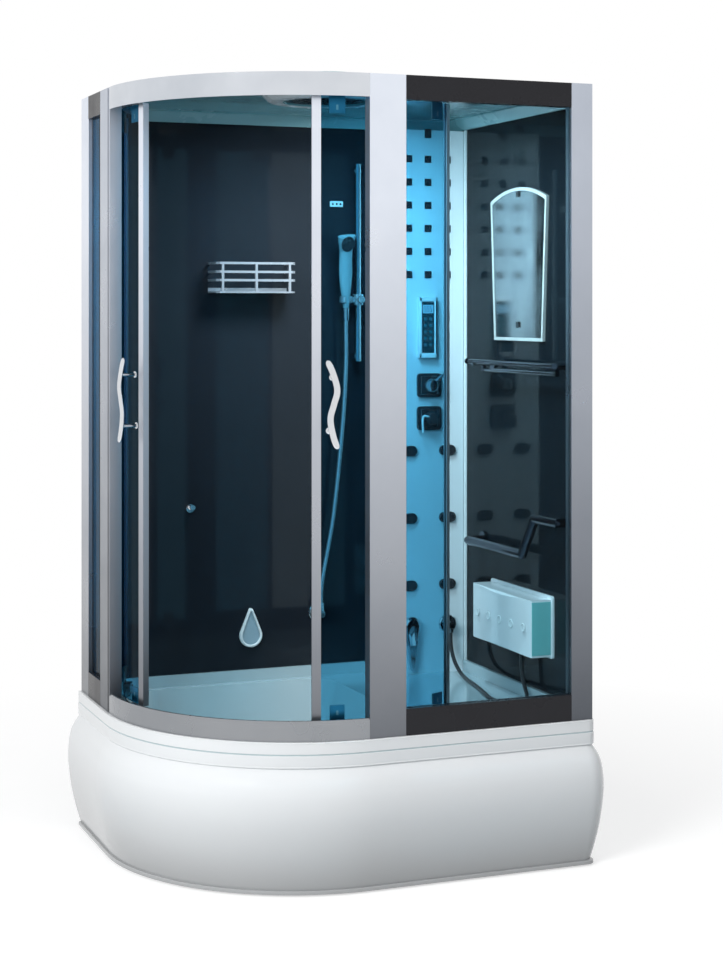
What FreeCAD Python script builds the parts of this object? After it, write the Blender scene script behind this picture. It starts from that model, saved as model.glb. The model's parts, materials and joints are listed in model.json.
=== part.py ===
import FreeCAD, Part
import math
import os

import Sketcher

# Corner steam shower cabin with a deep tub, two curved sliding doors and a fitted wall column.
# Origin: middle of the footprint on the floor, +Z up, +X to the right, +Y towards the wall.

sizes = [
    ("cabin_length", 1220.0),
    ("cabin_depth", 900.0),
    ("corner_radius", 560.0),
    ("tub_height", 400.0),
    ("frame_height", 1750.0),
    ("skirt_bulge", 40.0),
    ("skirt_lift", 5.0),
    ("skirt_wall", 5.0),
    ("skirt_flange", 10.0),
    ("skirt_corner", 26.0),
    ("rim_overhang", 8.0),
    ("rim_band", 66.0),
    ("shell_wall", 5.0),
    ("floor_height", 120.0),
    ("well_draft", 45.0),
    ("well_corner", 80.0),
    ("seat_width", 437.0),
    ("upstand_rise", 34.0),
    ("upstand_width", 11.0),
    ("wall_zone", 32.0),
    ("side_zone", 28.0),
    ("wall_face", 8.0),
    ("wall_rib", 22.0),
    ("glass_thick", 6.0),
    ("glass_rebate", 9.0),
    ("slot_gap", 0.2),
    ("band_depth", 30.0),
    ("band_top", 66.0),
    ("band_bottom", 72.0),
    ("band_wall", 3.0),
    ("post_depth", 36.0),
    ("post_wall", 2.5),
    ("wide_post_width", 104.0),
    ("right_post_width", 65.0),
    ("jamb_width", 108.0),
    ("rear_post_width", 88.0),
    ("rail_top_height", 62.0),
    ("rail_bottom_height", 55.0),
    ("rail_wall", 4.0),
    ("rail_shelf", 36.0),
    ("lip_wall", 3.0),
    ("track_radius", 500.0),
    ("track_overrun", 32.0),
    ("track_wall", 3.0),
    ("door_radius", 518.0),
    ("door_thick", 5.0),
    ("door_span", 48.4),
    ("door_foot", 46.0),
    ("door_head", 58.0),
    ("left_open", 17.0),
    ("right_open", 15.8),
    ("profile_width", 24.0),
    ("profile_depth", 18.0),
    ("trail_width", 14.0),
    ("handle_angle", 5.6),
    ("handle_length", 232.0),
    ("handle_reach", 47.0),
    ("handle_height", 880.0),
    ("handle_width", 13.0),
    ("boss_spacing", 140.0),
    ("roller_radius", 12.0),
    ("roller_width", 8.0),
    ("roller_inset", 6.0),
    ("run_gap", 0.3),
    ("guide_gap", 0.8),
    ("roof_sheet", 4.0),
    ("roof_drop", 24.0),
    ("cornice_drop", 33.0),
    ("cornice_width", 36.0),
    ("ring_radius", 172.0),
    ("ring_drop", 18.0),
    ("ring_x", -55.0),
    ("ring_y", -110.0),
    ("fan_radius", 115.0),
    ("fan_rise", 52.0),
    ("blade_count", 7.0),
    ("blade_pitch", 32.0),
    ("grille_slots", 18.0),
    ("column_width", 260.0),
    ("column_depth", 96.0),
    ("column_headroom", 65.0),
    ("column_wall", 4.0),
    ("column_round", 14.0),
    ("jet_size", 22.0),
    ("jet_proud", 4.0),
    ("jet_spread", 65.0),
    ("jet_pitch", 71.5),
    ("jet_first", 1237.0),
    ("oval_long", 55.0),
    ("oval_high", 33.0),
    ("oval_proud", 9.0),
    ("oval_pitch", 208.0),
    ("oval_first", 275.0),
    ("panel_width", 60.0),
    ("panel_height", 188.0),
    ("panel_proud", 15.0),
    ("panel_centre", 1073.0),
    ("panel_border", 9.0),
    ("plate_width", 80.0),
    ("plate_height", 74.0),
    ("plate_proud", 10.0),
    ("mixer_height", 894.0),
    ("diverter_height", 792.0),
    ("knob_radius", 21.0),
    ("knob_length", 26.0),
    ("lever_length", 46.0),
    ("stem_radius", 8.0),
    ("outlet_height", 151.0),
    ("rail_x", 242.0),
    ("rail_stand", 38.0),
    ("rail_radius", 9.0),
    ("rail_low", 969.0),
    ("rail_headroom", 172.0),
    ("slider_height", 1159.0),
    ("holder_reach", 46.0),
    ("handset_length", 214.0),
    ("hose_radius", 7.0),
    ("elbow_x", 118.0),
    ("elbow_height", 196.0),
    ("box_length", 390.0),
    ("box_height", 162.0),
    ("box_depth", 70.0),
    ("box_centre", -53.0),
    ("box_low", 143.5),
    ("feed_radius", 6.0),
    ("shelf_x", -105.0),
    ("shelf_length", 250.0),
    ("shelf_depth", 92.0),
    ("shelf_low", 1178.0),
    ("shelf_rise", 93.0),
    ("rod_radius", 3.5),
    ("mirror_centre", -39.0),
    ("mirror_gap", 84.0),
    ("mirror_base", 301.0),
    ("mirror_top", 351.0),
    ("mirror_side", 398.0),
    ("mirror_arch", 34.0),
    ("mirror_border", 9.0),
    ("mirror_thick", 5.0),
    ("bench_rail_height", 962.0),
    ("bench_rail_length", 566.0),
    ("bench_rail_centre", -97.0),
    ("grab_height", 424.0),
    ("grab_length", 378.0),
    ("grab_start", 231.0),
    ("grab_rise", 112.0),
    ("grab_radius", 14.0),
    ("grab_stand", 48.0),
    ("drop_x", -95.0),
    ("drop_low", 101.0),
    ("drop_width", 73.0),
    ("drop_height", 120.0),
    ("hook_x", -286.0),
    ("hook_height", 531.0),
    ("drain_x", -205.0),
    ("drain_y", 250.0),
    ("waste_radius", 25.0),
    ("waste_height", 50.0),
    ("tube_size", 30.0),
    ("foot_radius", 22.0),
    ("foot_stem", 6.0),
    ("supply_radius", 10.5),
    ("shoulder", 2.5),
    ("supply_spread", 100.0),
    ("supply_height", 745.0),
    ("generator_length", 230.0),
    ("generator_width", 170.0),
    ("generator_height", 185.0),
]

doc = FreeCAD.newDocument("cabin")
sheet = doc.addObject("Spreadsheet::Sheet", "size")
for row, (alias, value) in enumerate(sizes, start=1):
    sheet.set("A%d" % row, alias)
    sheet.set("B%d" % row, repr(value))
    sheet.setAlias("B%d" % row, alias)
doc.recompute()

size = dict((alias, float(sheet.get(alias))) for alias, value in sizes)
parts = []


def number(expression):
    """Value of an expression that names cells of the sheet."""
    return float(sheet.evalExpression(expression))


def bind(item, **properties):
    for path, expression in properties.items():
        item.setExpression(path.replace("__", "."), expression)


def place(item, x="0", y="0", z="0"):
    item.setExpression("Placement.Base.x", x)
    item.setExpression("Placement.Base.y", y)
    item.setExpression("Placement.Base.z", z)


def keep(item, label):
    item.Label = label
    parts.append(item)
    return item


def box(label, corner, spans):
    item = doc.addObject("Part::Box", label)
    bind(item, Length=spans[0], Width=spans[1], Height=spans[2])
    place(item, *corner)
    return item


def cylinder(label, centre, radius, height, rotation=None):
    item = doc.addObject("Part::Cylinder", label)
    bind(item, Radius=radius, Height=height)
    if rotation:
        item.Placement = FreeCAD.Placement(FreeCAD.Vector(), rotation)
    place(item, *centre)
    return item


def cut(label, base, tool):
    item = doc.addObject("Part::Cut", label)
    item.Base = base
    item.Tool = tool
    return item


def fuse(label, items):
    item = doc.addObject("Part::MultiFuse", label)
    item.Shapes = items
    return item


def new_body(label, origin=("0", "0", "0"), rotation=None):
    body = doc.addObject("PartDesign::Body", label)
    if rotation:
        body.Placement = FreeCAD.Placement(FreeCAD.Vector(), rotation)
    place(body, *origin)
    return body


def new_sketch(body, name, role="XY_Plane"):
    sketch = body.newObject("Sketcher::SketchObject", name)
    plane = [item for item in body.Origin.OriginFeatures if item.Role == role][0]
    sketch.AttachmentSupport = [(plane, "")]
    sketch.MapMode = "FlatFace"
    return sketch


def fix_point(sketch, element, end, x, y):
    place_x = sketch.addConstraint(Sketcher.Constraint("DistanceX", -1, 1, element, end, number(x)))
    sketch.setExpression("Constraints[%d]" % place_x, x)
    place_y = sketch.addConstraint(Sketcher.Constraint("DistanceY", -1, 1, element, end, number(y)))
    sketch.setExpression("Constraints[%d]" % place_y, y)


def outline(sketch, corners):
    """Closed outline of straight sides through corners (x, y) in sheet expressions."""
    spots = [FreeCAD.Vector(number(corner[0]), number(corner[1]), 0) for corner in corners]
    first = sketch.GeometryCount
    for index, start in enumerate(spots):
        sketch.addGeometry(Part.LineSegment(start, spots[(index + 1) % len(spots)]), False)
    for index, corner in enumerate(corners):
        ahead = corners[(index + 1) % len(corners)]
        fix_point(sketch, first + index, 1, corner[0], corner[1])
        fix_point(sketch, first + index, 2, ahead[0], ahead[1])


def circle(sketch, x, y, radius):
    spot = FreeCAD.Vector(number(x), number(y), 0)
    element = sketch.addGeometry(Part.Circle(spot, FreeCAD.Vector(0, 0, 1), number(radius)), False)
    fix = sketch.addConstraint(Sketcher.Constraint("Radius", element, number(radius)))
    sketch.setExpression("Constraints[%d]" % fix, radius)
    fix_point(sketch, element, 3, x, y)


def pad(body, sketch, length, reverse=False):
    item = body.newObject("PartDesign::Pad", "pad")
    item.Profile = sketch
    item.setExpression("Length", length)
    item.Reversed = reverse
    return item


def pocket(body, sketch, length, reverse=False):
    item = body.newObject("PartDesign::Pocket", "pocket")
    item.Profile = sketch
    item.setExpression("Length", length)
    item.Reversed = reverse
    return item


def spin(body, sketch, axis="V_Axis", angle=None):
    item = body.newObject("PartDesign::Revolution", "spin")
    item.Profile = sketch
    item.ReferenceAxis = (sketch, [axis])
    if angle:
        item.setExpression("Angle", angle)
    else:
        item.Angle = 360
    return item


def rounded(body, base, test, radius, kind="PartDesign::Fillet"):
    """Round the edges of the last feature that pass the test."""
    doc.recompute()
    picked = []
    for index, edge in enumerate(base.Shape.Edges, start=1):
        if test(edge):
            picked.append("Edge%d" % index)
    item = body.newObject(kind, "round")
    item.Base = (base, picked)
    item.setExpression("Radius" if kind.endswith("Fillet") else "Size", radius)
    return item


def along(axis):
    """Test for straight edges that run along an axis."""
    def test(edge):
        run = edge.Vertexes[-1].Point - edge.Vertexes[0].Point
        return abs(abs(run.normalize()[axis]) - 1) < 1e-6 if len(edge.Vertexes) == 2 and run.Length else False
    return test


def at_level(axis, level):
    """Test for edges that lie wholly at one level of an axis."""
    def test(edge):
        return all(abs(spot[axis] - level) < 1e-4 for spot in edge.discretize(5))
    return test


def feature(label, shape):
    item = doc.addObject("Part::Feature", label)
    item.Shape = shape
    return keep(item, label)


def vector(x, y, z):
    return FreeCAD.Vector(x, y, z)


def flat_sided(rings):
    """Solid between rings of equally many corners, one above the other, closed at both ends."""
    faces = [Part.Face(Part.makePolygon(ring + ring[:1])) for ring in (rings[0], rings[-1])]
    for low, high in zip(rings, rings[1:]):
        for index in range(len(low)):
            after = (index + 1) % len(low)
            faces.append(Part.Face(Part.makePolygon([low[index], low[after], high[after], high[index], low[index]])))
    solid = Part.makeSolid(Part.makeShell(faces))
    if solid.Volume < 0:
        solid.reverse()
    return solid


def stack(spot, axis, rows, sides=16):
    """Many-sided turned form along an axis, from rows of (level, radius) that run from one end to the other."""
    frame = FreeCAD.Placement(spot, FreeCAD.Rotation(vector(0, 0, 1), axis))
    angles = [math.pi * (2 * step + 1) / sides for step in range(sides)]
    return flat_sided([[frame.multVec(vector(radius * math.cos(angle), radius * math.sin(angle), level))
                        for angle in angles] for level, radius in rows])


def rod(spot, axis, radius, length, sides=12):
    return stack(spot, axis, [(0.0, radius), (length, radius)], sides)


turn_x = FreeCAD.Rotation(vector(1, 0, 0), 90)
turn_z = FreeCAD.Rotation(vector(0, 0, 1), 90)

# Levels and faces that several pieces share, as expressions and as numbers.
left_face = "-size.cabin_length / 2"
right_face = "size.cabin_length / 2"
front_face = "(size.skirt_bulge - size.cabin_depth) / 2"
back_face = "(size.skirt_bulge + size.cabin_depth) / 2"
ledge = "size.tub_height"
frame_top = "(size.tub_height + size.frame_height)"
wall_y = "((size.skirt_bulge + size.cabin_depth) / 2 - size.wall_zone)"
wall_x = "(size.cabin_length / 2 - size.side_zone)"
arc_x = "(size.corner_radius - size.cabin_length / 2)"
arc_y = "((size.skirt_bulge - size.cabin_depth) / 2 + size.corner_radius)"
column_y = "(%s - size.column_depth)" % wall_y
column_x = "(%s - size.column_width)" % wall_x
column_mid = "(%s - size.column_width / 2)" % wall_x

x_left, x_right = number(left_face), number(right_face)
y_front, y_back = number(front_face), number(back_face)
z_ledge, z_top = size["tub_height"], number(frame_top)
y_wall, x_wall = number(wall_y), number(wall_x)
x_arc, y_arc = number(arc_x), number(arc_y)
y_column, x_column = number(column_y), number(column_x)
x_mid = number(column_mid)


def cabin_wire(offset, z, back, corner=0.0):
    """Footprint grown by an offset: left side, quarter round, front, right side and straight back."""
    reach = size["corner_radius"] + offset
    left, right, front = x_left - offset, x_right + offset, y_front - offset
    slant = reach * math.sqrt(0.5)
    edges = [
        Part.LineSegment(vector(left, back, z), vector(left, y_arc, z)),
        Part.Arc(vector(left, y_arc, z), vector(x_arc - slant, y_arc - slant, z), vector(x_arc, front, z)),
        Part.LineSegment(vector(x_arc, front, z), vector(right - corner, front, z)),
    ]
    if corner:
        bite = corner * (1 - math.sqrt(0.5))
        edges.append(Part.Arc(vector(right - corner, front, z), vector(right - bite, front + bite, z),
                              vector(right, front + corner, z)))
    edges.append(Part.LineSegment(vector(right, front + corner, z), vector(right, back, z)))
    edges.append(Part.LineSegment(vector(right, back, z), vector(left, back, z)))
    return Part.Wire([edge.toShape() for edge in edges])


def slab(wire, height):
    return Part.Face(wire).extrude(vector(0, 0, height))


def well_wire(inset, z):
    """Plan of the tub's well: an arc inside the door track, a straight back and the seat's front edge."""
    reach = size["track_radius"] - 22.0 - inset
    back = y_wall - size["upstand_width"] - 24.0 - inset
    right = x_wall - size["seat_width"] - inset
    start = vector(x_arc - math.sqrt(reach ** 2 - (back - y_arc) ** 2), back, z)
    end = vector(right, y_arc - math.sqrt(reach ** 2 - (right - x_arc) ** 2), z)
    slant = reach * math.sqrt(0.5)
    middle = vector(x_arc - slant, y_arc - slant, z)
    edges = [
        Part.Arc(start, middle, end),
        Part.LineSegment(end, vector(right, back, z)),
        Part.LineSegment(vector(right, back, z), start),
    ]
    return Part.Wire([edge.toShape() for edge in edges])


def rounded_plan(wire, z, radius):
    """The same plan with its corners rounded."""
    block = slab(wire, 1.0)
    block = block.makeFillet(radius, [edge for edge in block.Edges if along(2)(edge)])
    return [face for face in block.Faces if abs(face.CenterOfMass.z - z) < 1e-6][0].OuterWire


def corners_of(wire, step):
    """Corners of a closed plan, with its arcs taken in turns of about one step."""
    corners = []
    for edge, start in zip(wire.OrderedEdges, wire.OrderedVertexes):
        turn = edge.Length / edge.Curve.Radius if hasattr(edge.Curve, "Radius") else 0.0
        spots = edge.discretize(2 + int(turn / step))
        if (spots[0] - start.Point).Length > (spots[-1] - start.Point).Length:
            spots.reverse()
        corners += spots[:-1]
    return corners


def drawn_in(corners, inset, z):
    """The same plan with every side moved in by an inset, at another level."""
    middle = sum(corners, vector(0, 0, 0)) * (1.0 / len(corners))
    moved = []
    for index, spot in enumerate(corners):
        normals = []
        for run in (spot - corners[index - 1], corners[(index + 1) % len(corners)] - spot):
            normal = vector(run.y, -run.x, 0).normalize()
            normals.append(normal if normal.dot(spot - middle) > 0 else normal * -1)
        shift = (normals[0] + normals[1]) * (inset / (1 + normals[0].dot(normals[1])))
        moved.append(vector(spot.x - shift.x, spot.y - shift.y, z))
    return moved


def well_solid(grow, top, floor):
    """Drafted well with rounded upright corners and a bevelled floor edge."""
    cove = size["well_corner"] * 0.4
    mouth = corners_of(rounded_plan(well_wire(-grow, top), top, size["well_corner"] + grow), 0.13)
    return flat_sided([mouth, drawn_in(mouth, size["well_draft"], floor + cove),
                       drawn_in(mouth, size["well_draft"] + cove, floor)])


# Tub: ledge, fascia, drafted well, seat and the upstand that the walls stand behind.
wall = size["shell_wall"]
fascia_low = z_ledge - size["rim_band"]
well_floor = size["floor_height"]
rim = slab(cabin_wire(size["rim_overhang"], fascia_low, y_back, size["skirt_corner"]), size["rim_band"])
rim = rim.makeChamfer(3.5, [edge for edge in rim.Edges
                            if at_level(2, z_ledge)(edge) and not at_level(1, y_back)(edge)])
hollow = slab(cabin_wire(size["rim_overhang"] - wall, fascia_low - 1.0, y_back - wall,
                         size["skirt_corner"] - wall), size["rim_band"] - wall + 1.0)
well_outer = well_solid(wall, z_ledge - wall * 0.5, well_floor - wall)
well_inner = well_solid(0.0, z_ledge + 0.0, well_floor)
rear_upstand = Part.makeBox(x_column - 2.0 - (x_left + size["post_depth"]), size["upstand_width"],
                            size["upstand_rise"],
                            vector(x_left + size["post_depth"], y_wall - size["upstand_width"], z_ledge))
side_upstand = Part.makeBox(size["upstand_width"], y_column - 2.0 - (y_front + size["post_depth"]),
                            size["upstand_rise"],
                            vector(x_wall - size["upstand_width"], y_front + size["post_depth"], z_ledge))
waste_hole = Part.makeCylinder(size["waste_radius"] - 2.0, 40.0,
                               vector(size["drain_x"], size["drain_y"], well_floor - 20.0))
tub = rim.cut(hollow).fuse(well_outer).cut(well_inner).fuse([rear_upstand, side_upstand]).cut(waste_hole)
tub = tub.removeSplitter()
feature("tub_shell", tub)

# Bulged apron round the left side, the quarter round, the front and the right end.
apron_foot = size["skirt_lift"] + size["skirt_flange"]
apron_rows = [(0.0, 0.05), (0.16, 0.43), (0.36, 0.78), (0.63, 1.0), (0.86, 0.78), (1.0, 0.1)]
inner_rows = apron_rows[:1] + apron_rows[2:4] + apron_rows[-1:]


def apron_loft(rows, shift, back):
    wires = []
    for share, swell in rows:
        level = apron_foot + (fascia_low - apron_foot) * share
        corner = size["skirt_corner"] + shift + size["skirt_bulge"] * swell
        wires.append(cabin_wire(size["skirt_bulge"] * swell + shift, level, back, corner))
    return Part.makeLoft(wires, True, True)


apron = apron_loft(apron_rows, 0.0, y_back).cut(apron_loft(inner_rows, -size["skirt_wall"], y_back + 5.0))
flange_reach = size["rim_overhang"]
flange = slab(cabin_wire(flange_reach, size["skirt_lift"], y_back, size["skirt_corner"]), size["skirt_flange"])
flange_hole = slab(cabin_wire(flange_reach - 2.4 * size["skirt_wall"], size["skirt_lift"] - 1.0, y_back + 5.0,
                              size["skirt_corner"]), size["skirt_flange"] + 2.0)
apron = apron.fuse(flange.cut(flange_hole)).removeSplitter()
feature("front_apron", apron)

# Steel base frame under the well and the seat, and its screw feet.
frame_z = "(size.floor_height - size.shell_wall - size.tube_size)"
frame_xs = ["%s + 190" % left_face, "%s - 480" % wall_x, "%s - 60" % wall_x]
frame_ys = ["%s + 175" % front_face, "%s - 115" % wall_y]
bars = []
for index, y in enumerate(frame_ys):
    bars.append(box("long_bar_%d" % index, (frame_xs[0], y, frame_z),
                    ("%s - (%s) + size.tube_size" % (frame_xs[2], frame_xs[0]), "size.tube_size", "size.tube_size")))
for index, x in enumerate(frame_xs):
    bars.append(box("cross_bar_%d" % index, (x, frame_ys[0], frame_z),
                    ("size.tube_size", "%s - (%s) + size.tube_size" % (frame_ys[1], frame_ys[0]),
                     "size.tube_size")))
for index, y in enumerate(frame_ys):
    bars.append(box("seat_leg_%d" % index, (frame_xs[2], y, frame_z),
                    ("size.tube_size", "size.tube_size", "size.tub_height - size.shell_wall - %s" % frame_z)))
keep(fuse("base_frame", bars), "base_frame")

feet = []
for index, (x, y) in enumerate((x, y) for x in frame_xs for y in frame_ys):
    spot = ("%s + size.tube_size / 2" % x, "%s + size.tube_size / 2" % y)
    pad_item = doc.addObject("Part::Prism", "foot_pad_%d" % index)
    bind(pad_item, Circumradius="size.foot_radius", Height="8")
    pad_item.Polygon = 12
    stem = doc.addObject("Part::Prism", "foot_stem_%d" % index)
    bind(stem, Circumradius="size.foot_stem", Height=frame_z)
    stem.Polygon = 8
    place(stem, spot[0], spot[1])
    place(pad_item, spot[0], spot[1])
    nut = doc.addObject("Part::Prism", "foot_nut_%d" % index)
    bind(nut, Circumradius="size.foot_stem * 1.8", Height="10")
    place(nut, spot[0], spot[1], "%s - 10" % frame_z)
    feet.append(fuse("foot_%d" % index, [pad_item, stem, nut]))
group = doc.addObject("Part::Compound", "levelling_feet")
group.Links = feet
keep(group, "levelling_feet")

# Waste: flange in the well's floor, trap below it and a pipe to the back, with a lift-up plug.
floor_z = "size.floor_height"
neck = "(size.waste_radius - 2.3)"
neck_radius = number(neck)
drain = vector(size["drain_x"], size["drain_y"], well_floor)
up = vector(0, 0, 1)
waste_flange = rod(drain + vector(0, 0, -55.0), up, neck_radius, 55.5, 20)
waste_flange = waste_flange.fuse(stack(drain, up, [(0.0, size["waste_radius"] + 11.0),
                                                   (3.5, size["waste_radius"] + 8.0)], 20))
waste_flange = waste_flange.cut(rod(drain + vector(0, 0, -56.0), up, neck_radius - 5.0, 60.0, 20)).removeSplitter()

plug = stack(drain, up, [(4.2, size["waste_radius"] + 3.0), (8.0, size["waste_radius"])], 20)
feature("drain_plug", plug.fuse(rod(drain + vector(0, 0, -40.0), up, 4.0, 45.0, 8)).removeSplitter())

trap_top = "(%s - 38)" % floor_z
cup = doc.addObject("Part::Prism", "trap_cup")
bind(cup, Circumradius="size.waste_radius + 14", Height="%s - (size.waste_height - size.waste_radius)" % trap_top)
cup.Polygon = 16
place(cup, "size.drain_x", "size.drain_y", "size.waste_height - size.waste_radius")
bore = doc.addObject("Part::Prism", "trap_bore")
bind(bore, Circumradius="%s + 0.4" % neck, Height="200")
bore.Polygon = 20
place(bore, "size.drain_x", "size.drain_y", "size.waste_height - size.waste_radius + 4")
socket_end = "(size.drain_y + size.waste_radius + 15)"
socket = doc.addObject("Part::Prism", "trap_socket")
bind(socket, Circumradius="size.waste_radius + 4", Height="%s - size.drain_y" % socket_end)
socket.Polygon = 16
socket.Placement = FreeCAD.Placement(FreeCAD.Vector(), turn_x)
place(socket, "size.drain_x", socket_end, "size.waste_height")
pipe = cylinder("trap_pipe", ("size.drain_x", "%s - 4" % back_face, "size.waste_height"), "size.waste_radius",
                "%s - 4 - size.drain_y" % back_face, turn_x)
pipe_bore = doc.addObject("Part::Prism", "trap_pipe_bore")
bind(pipe_bore, Circumradius="size.waste_radius - 3", Height="%s + 1 - size.drain_y" % back_face)
pipe_bore.Polygon = 16
pipe_bore.Placement = FreeCAD.Placement(FreeCAD.Vector(), turn_x)
place(pipe_bore, "size.drain_x", "%s + 1" % back_face, "size.waste_height")
keep(cut("waste_trap", fuse("trap_solid", [cup, socket, pipe]), fuse("trap_ways", [bore, pipe_bore])), "waste_trap")

# Wall panels: glossy faces with a stiffening return all round, open at the back.
body = new_body("back_wall_panel", ("%s + size.post_depth" % left_face, wall_y, ledge), turn_x)
back_length = "(size.cabin_length - size.post_depth)"
sketch = new_sketch(body, "face")
outline(sketch, [("0", "0"), (back_length, "0"), (back_length, "size.frame_height"), ("0", "size.frame_height")])
base = pad(body, sketch, "size.wall_zone - 2", True)
sketch = new_sketch(body, "relief")
sketch.setExpression("AttachmentOffset.Base.z", "-size.wall_face")
rib = "size.wall_rib"
outline(sketch, [(rib, rib), ("%s - %s" % (back_length, rib), rib),
                 ("%s - %s" % (back_length, rib), "size.frame_height - %s" % rib),
                 (rib, "size.frame_height - %s" % rib)])
pocket(body, sketch, "size.wall_zone")
sketch = new_sketch(body, "supply_ways")
for sign in ("+", "-"):
    circle(sketch, "%s - (%s + size.post_depth) %s size.supply_spread / 2" % (column_mid, left_face, sign),
           "size.supply_height", "size.supply_radius + size.shoulder + size.run_gap")
pocket(body, sketch, "size.wall_zone")
keep(body, "back_wall_panel")

body = new_body("right_wall_panel", (wall_x, "%s + size.post_depth" % front_face, ledge), turn_z * turn_x)
side_length = "(size.cabin_depth - size.post_depth - size.wall_zone)"
sketch = new_sketch(body, "face")
outline(sketch, [("0", "0"), (side_length, "0"), (side_length, "size.frame_height"), ("0", "size.frame_height")])
pad(body, sketch, "size.side_zone")
sketch = new_sketch(body, "relief")
sketch.setExpression("AttachmentOffset.Base.z", "size.wall_face")
outline(sketch, [(rib, rib), ("%s - %s" % (side_length, rib), rib),
                 ("%s - %s" % (side_length, rib), "size.frame_height - %s" % rib),
                 (rib, "size.frame_height - %s" % rib)])
pocket(body, sketch, "size.side_zone", True)
keep(body, "right_wall_panel")


# Upright posts: hollow profiles with a slot where a pane enters.
def post(label, corner, width, depth, slots, groove=None):
    body = new_body(label, (corner[0], corner[1], ledge))
    sketch = new_sketch(body, "section")
    outline(sketch, [("0", "0"), (width, "0"), (width, depth), ("0", depth)])
    base = pad(body, sketch, "size.frame_height")
    rounded(body, base, along(2), "1.5")
    sketch = new_sketch(body, "hollow")
    wall = "size.post_wall"
    outline(sketch, [("%s * 4 + size.glass_rebate" % wall, wall),
                     ("%s - %s * 4 - size.glass_rebate" % (width, wall), wall),
                     ("%s - %s * 4 - size.glass_rebate" % (width, wall), "%s - %s" % (depth, wall)),
                     ("%s * 4 + size.glass_rebate" % wall, "%s - %s" % (depth, wall))])
    pocket(body, sketch, "size.frame_height", True)
    for index, (low, high) in enumerate(slots):
        sketch = new_sketch(body, "slot_%d" % index)
        outline(sketch, [(low[0], low[1]), (high[0], low[1]), (high[0], high[1]), (low[0], high[1])])
        pocket(body, sketch, "size.frame_height", True)
    return keep(body, label)


pane_y = "12"
slot_wide = "(size.glass_thick + 2 * size.slot_gap)"
slot_low = "(%s - size.slot_gap)" % pane_y
slot_high = "(%s + size.glass_thick + size.slot_gap)" % pane_y
deep = "(size.glass_rebate + size.slot_gap)"
post("wide_front_post", (arc_x, front_face), "size.wide_post_width", "size.post_depth",
     [(("size.wide_post_width - %s" % deep, slot_low), ("size.wide_post_width", slot_high))])
post("right_front_post", ("%s - size.right_post_width" % right_face, front_face), "size.right_post_width",
     "size.post_depth", [(("0", slot_low), (deep, slot_high))])

# Left side, read with the post's length along the depth of the cabin.
jamb_end = "(%s + size.jamb_width)" % arc_y
rear_start = "(%s - size.rear_post_width)" % back_face


def side_post(label, start, width, slot_at_end):
    body = new_body(label, (left_face, start, ledge))
    sketch = new_sketch(body, "section")
    outline(sketch, [("0", "0"), ("size.post_depth", "0"), ("size.post_depth", width), ("0", width)])
    base = pad(body, sketch, "size.frame_height")
    rounded(body, base, along(2), "1.5")
    sketch = new_sketch(body, "hollow")
    wall = "size.post_wall"
    inner = "(size.post_wall * 4 + size.glass_rebate)"
    outline(sketch, [(wall, inner), ("size.post_depth - %s" % wall, inner),
                     ("size.post_depth - %s" % wall, "%s - %s" % (width, inner)),
                     (wall, "%s - %s" % (width, inner))])
    pocket(body, sketch, "size.frame_height", True)
    sketch = new_sketch(body, "slot")
    low = "%s - %s" % (width, deep) if slot_at_end else "0"
    high = width if slot_at_end else deep
    outline(sketch, [(slot_low, low), (slot_high, low), (slot_high, high), (slot_low, high)])
    pocket(body, sketch, "size.frame_height", True)
    if slot_at_end:
        sketch = new_sketch(body, "shadow_groove")
        outline(sketch, [("0", "9"), ("5", "9"), ("5", "18"), ("0", "18")])
        pocket(body, sketch, "size.frame_height", True)
    return keep(body, label)


side_post("left_jamb", arc_y, "size.jamb_width", True)
side_post("rear_left_post", rear_start, "size.rear_post_width", False)

# Fixed panes and the black bands that hold them at the head and foot.
pane_low = "(size.tub_height + size.band_bottom - size.glass_rebate)"
pane_high = "(size.frame_height - size.band_bottom - size.band_top + 2 * size.glass_rebate)"
front_pane_x = "(%s + size.wide_post_width)" % arc_x
front_pane_end = "(%s - size.right_post_width)" % right_face
item = box("front_glass", ("%s - size.glass_rebate" % front_pane_x, "%s + %s" % (front_face, pane_y), pane_low),
           ("%s - %s + 2 * size.glass_rebate" % (front_pane_end, front_pane_x), "size.glass_thick", pane_high))
keep(item, "front_glass")
item = box("left_glass", ("%s + %s" % (left_face, pane_y), "%s - size.glass_rebate" % jamb_end, pane_low),
           ("size.glass_thick", "%s - %s + 2 * size.glass_rebate" % (rear_start, jamb_end), pane_high))
keep(item, "left_glass")


def band(label, corner, length, height, slot_up, along_y=False):
    """Hollow black band with a slot for the pane on its inner edge."""
    body = new_body(label, corner, turn_z if along_y else None)
    sketch = new_sketch(body, "section", "YZ_Plane")
    wall = "size.band_wall"
    depth = "size.band_depth"
    level = "(%s - %s)" % (height, deep) if slot_up else deep
    outer = height if slot_up else "0"
    near = [("0", "0"), (depth, "0"), (depth, height), ("0", height)]
    outline(sketch, near)
    pad(body, sketch, length)
    sketch = new_sketch(body, "slot", "YZ_Plane")
    low, high = (level, outer) if slot_up else (outer, level)
    outline(sketch, [(slot_low, low), (slot_high, low), (slot_high, high), (slot_low, high)])
    pocket(body, sketch, length, True)
    sketch = new_sketch(body, "hollow", "YZ_Plane")
    start = wall if slot_up else "(%s + %s)" % (deep, wall)
    stop = "(%s - %s - %s)" % (height, deep, wall) if slot_up else "(%s - %s)" % (height, wall)
    outline(sketch, [(wall, start), ("%s - %s" % (depth, wall), start), ("%s - %s" % (depth, wall), stop),
                     (wall, stop)])
    pocket(body, sketch, length, True)
    return body


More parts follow.
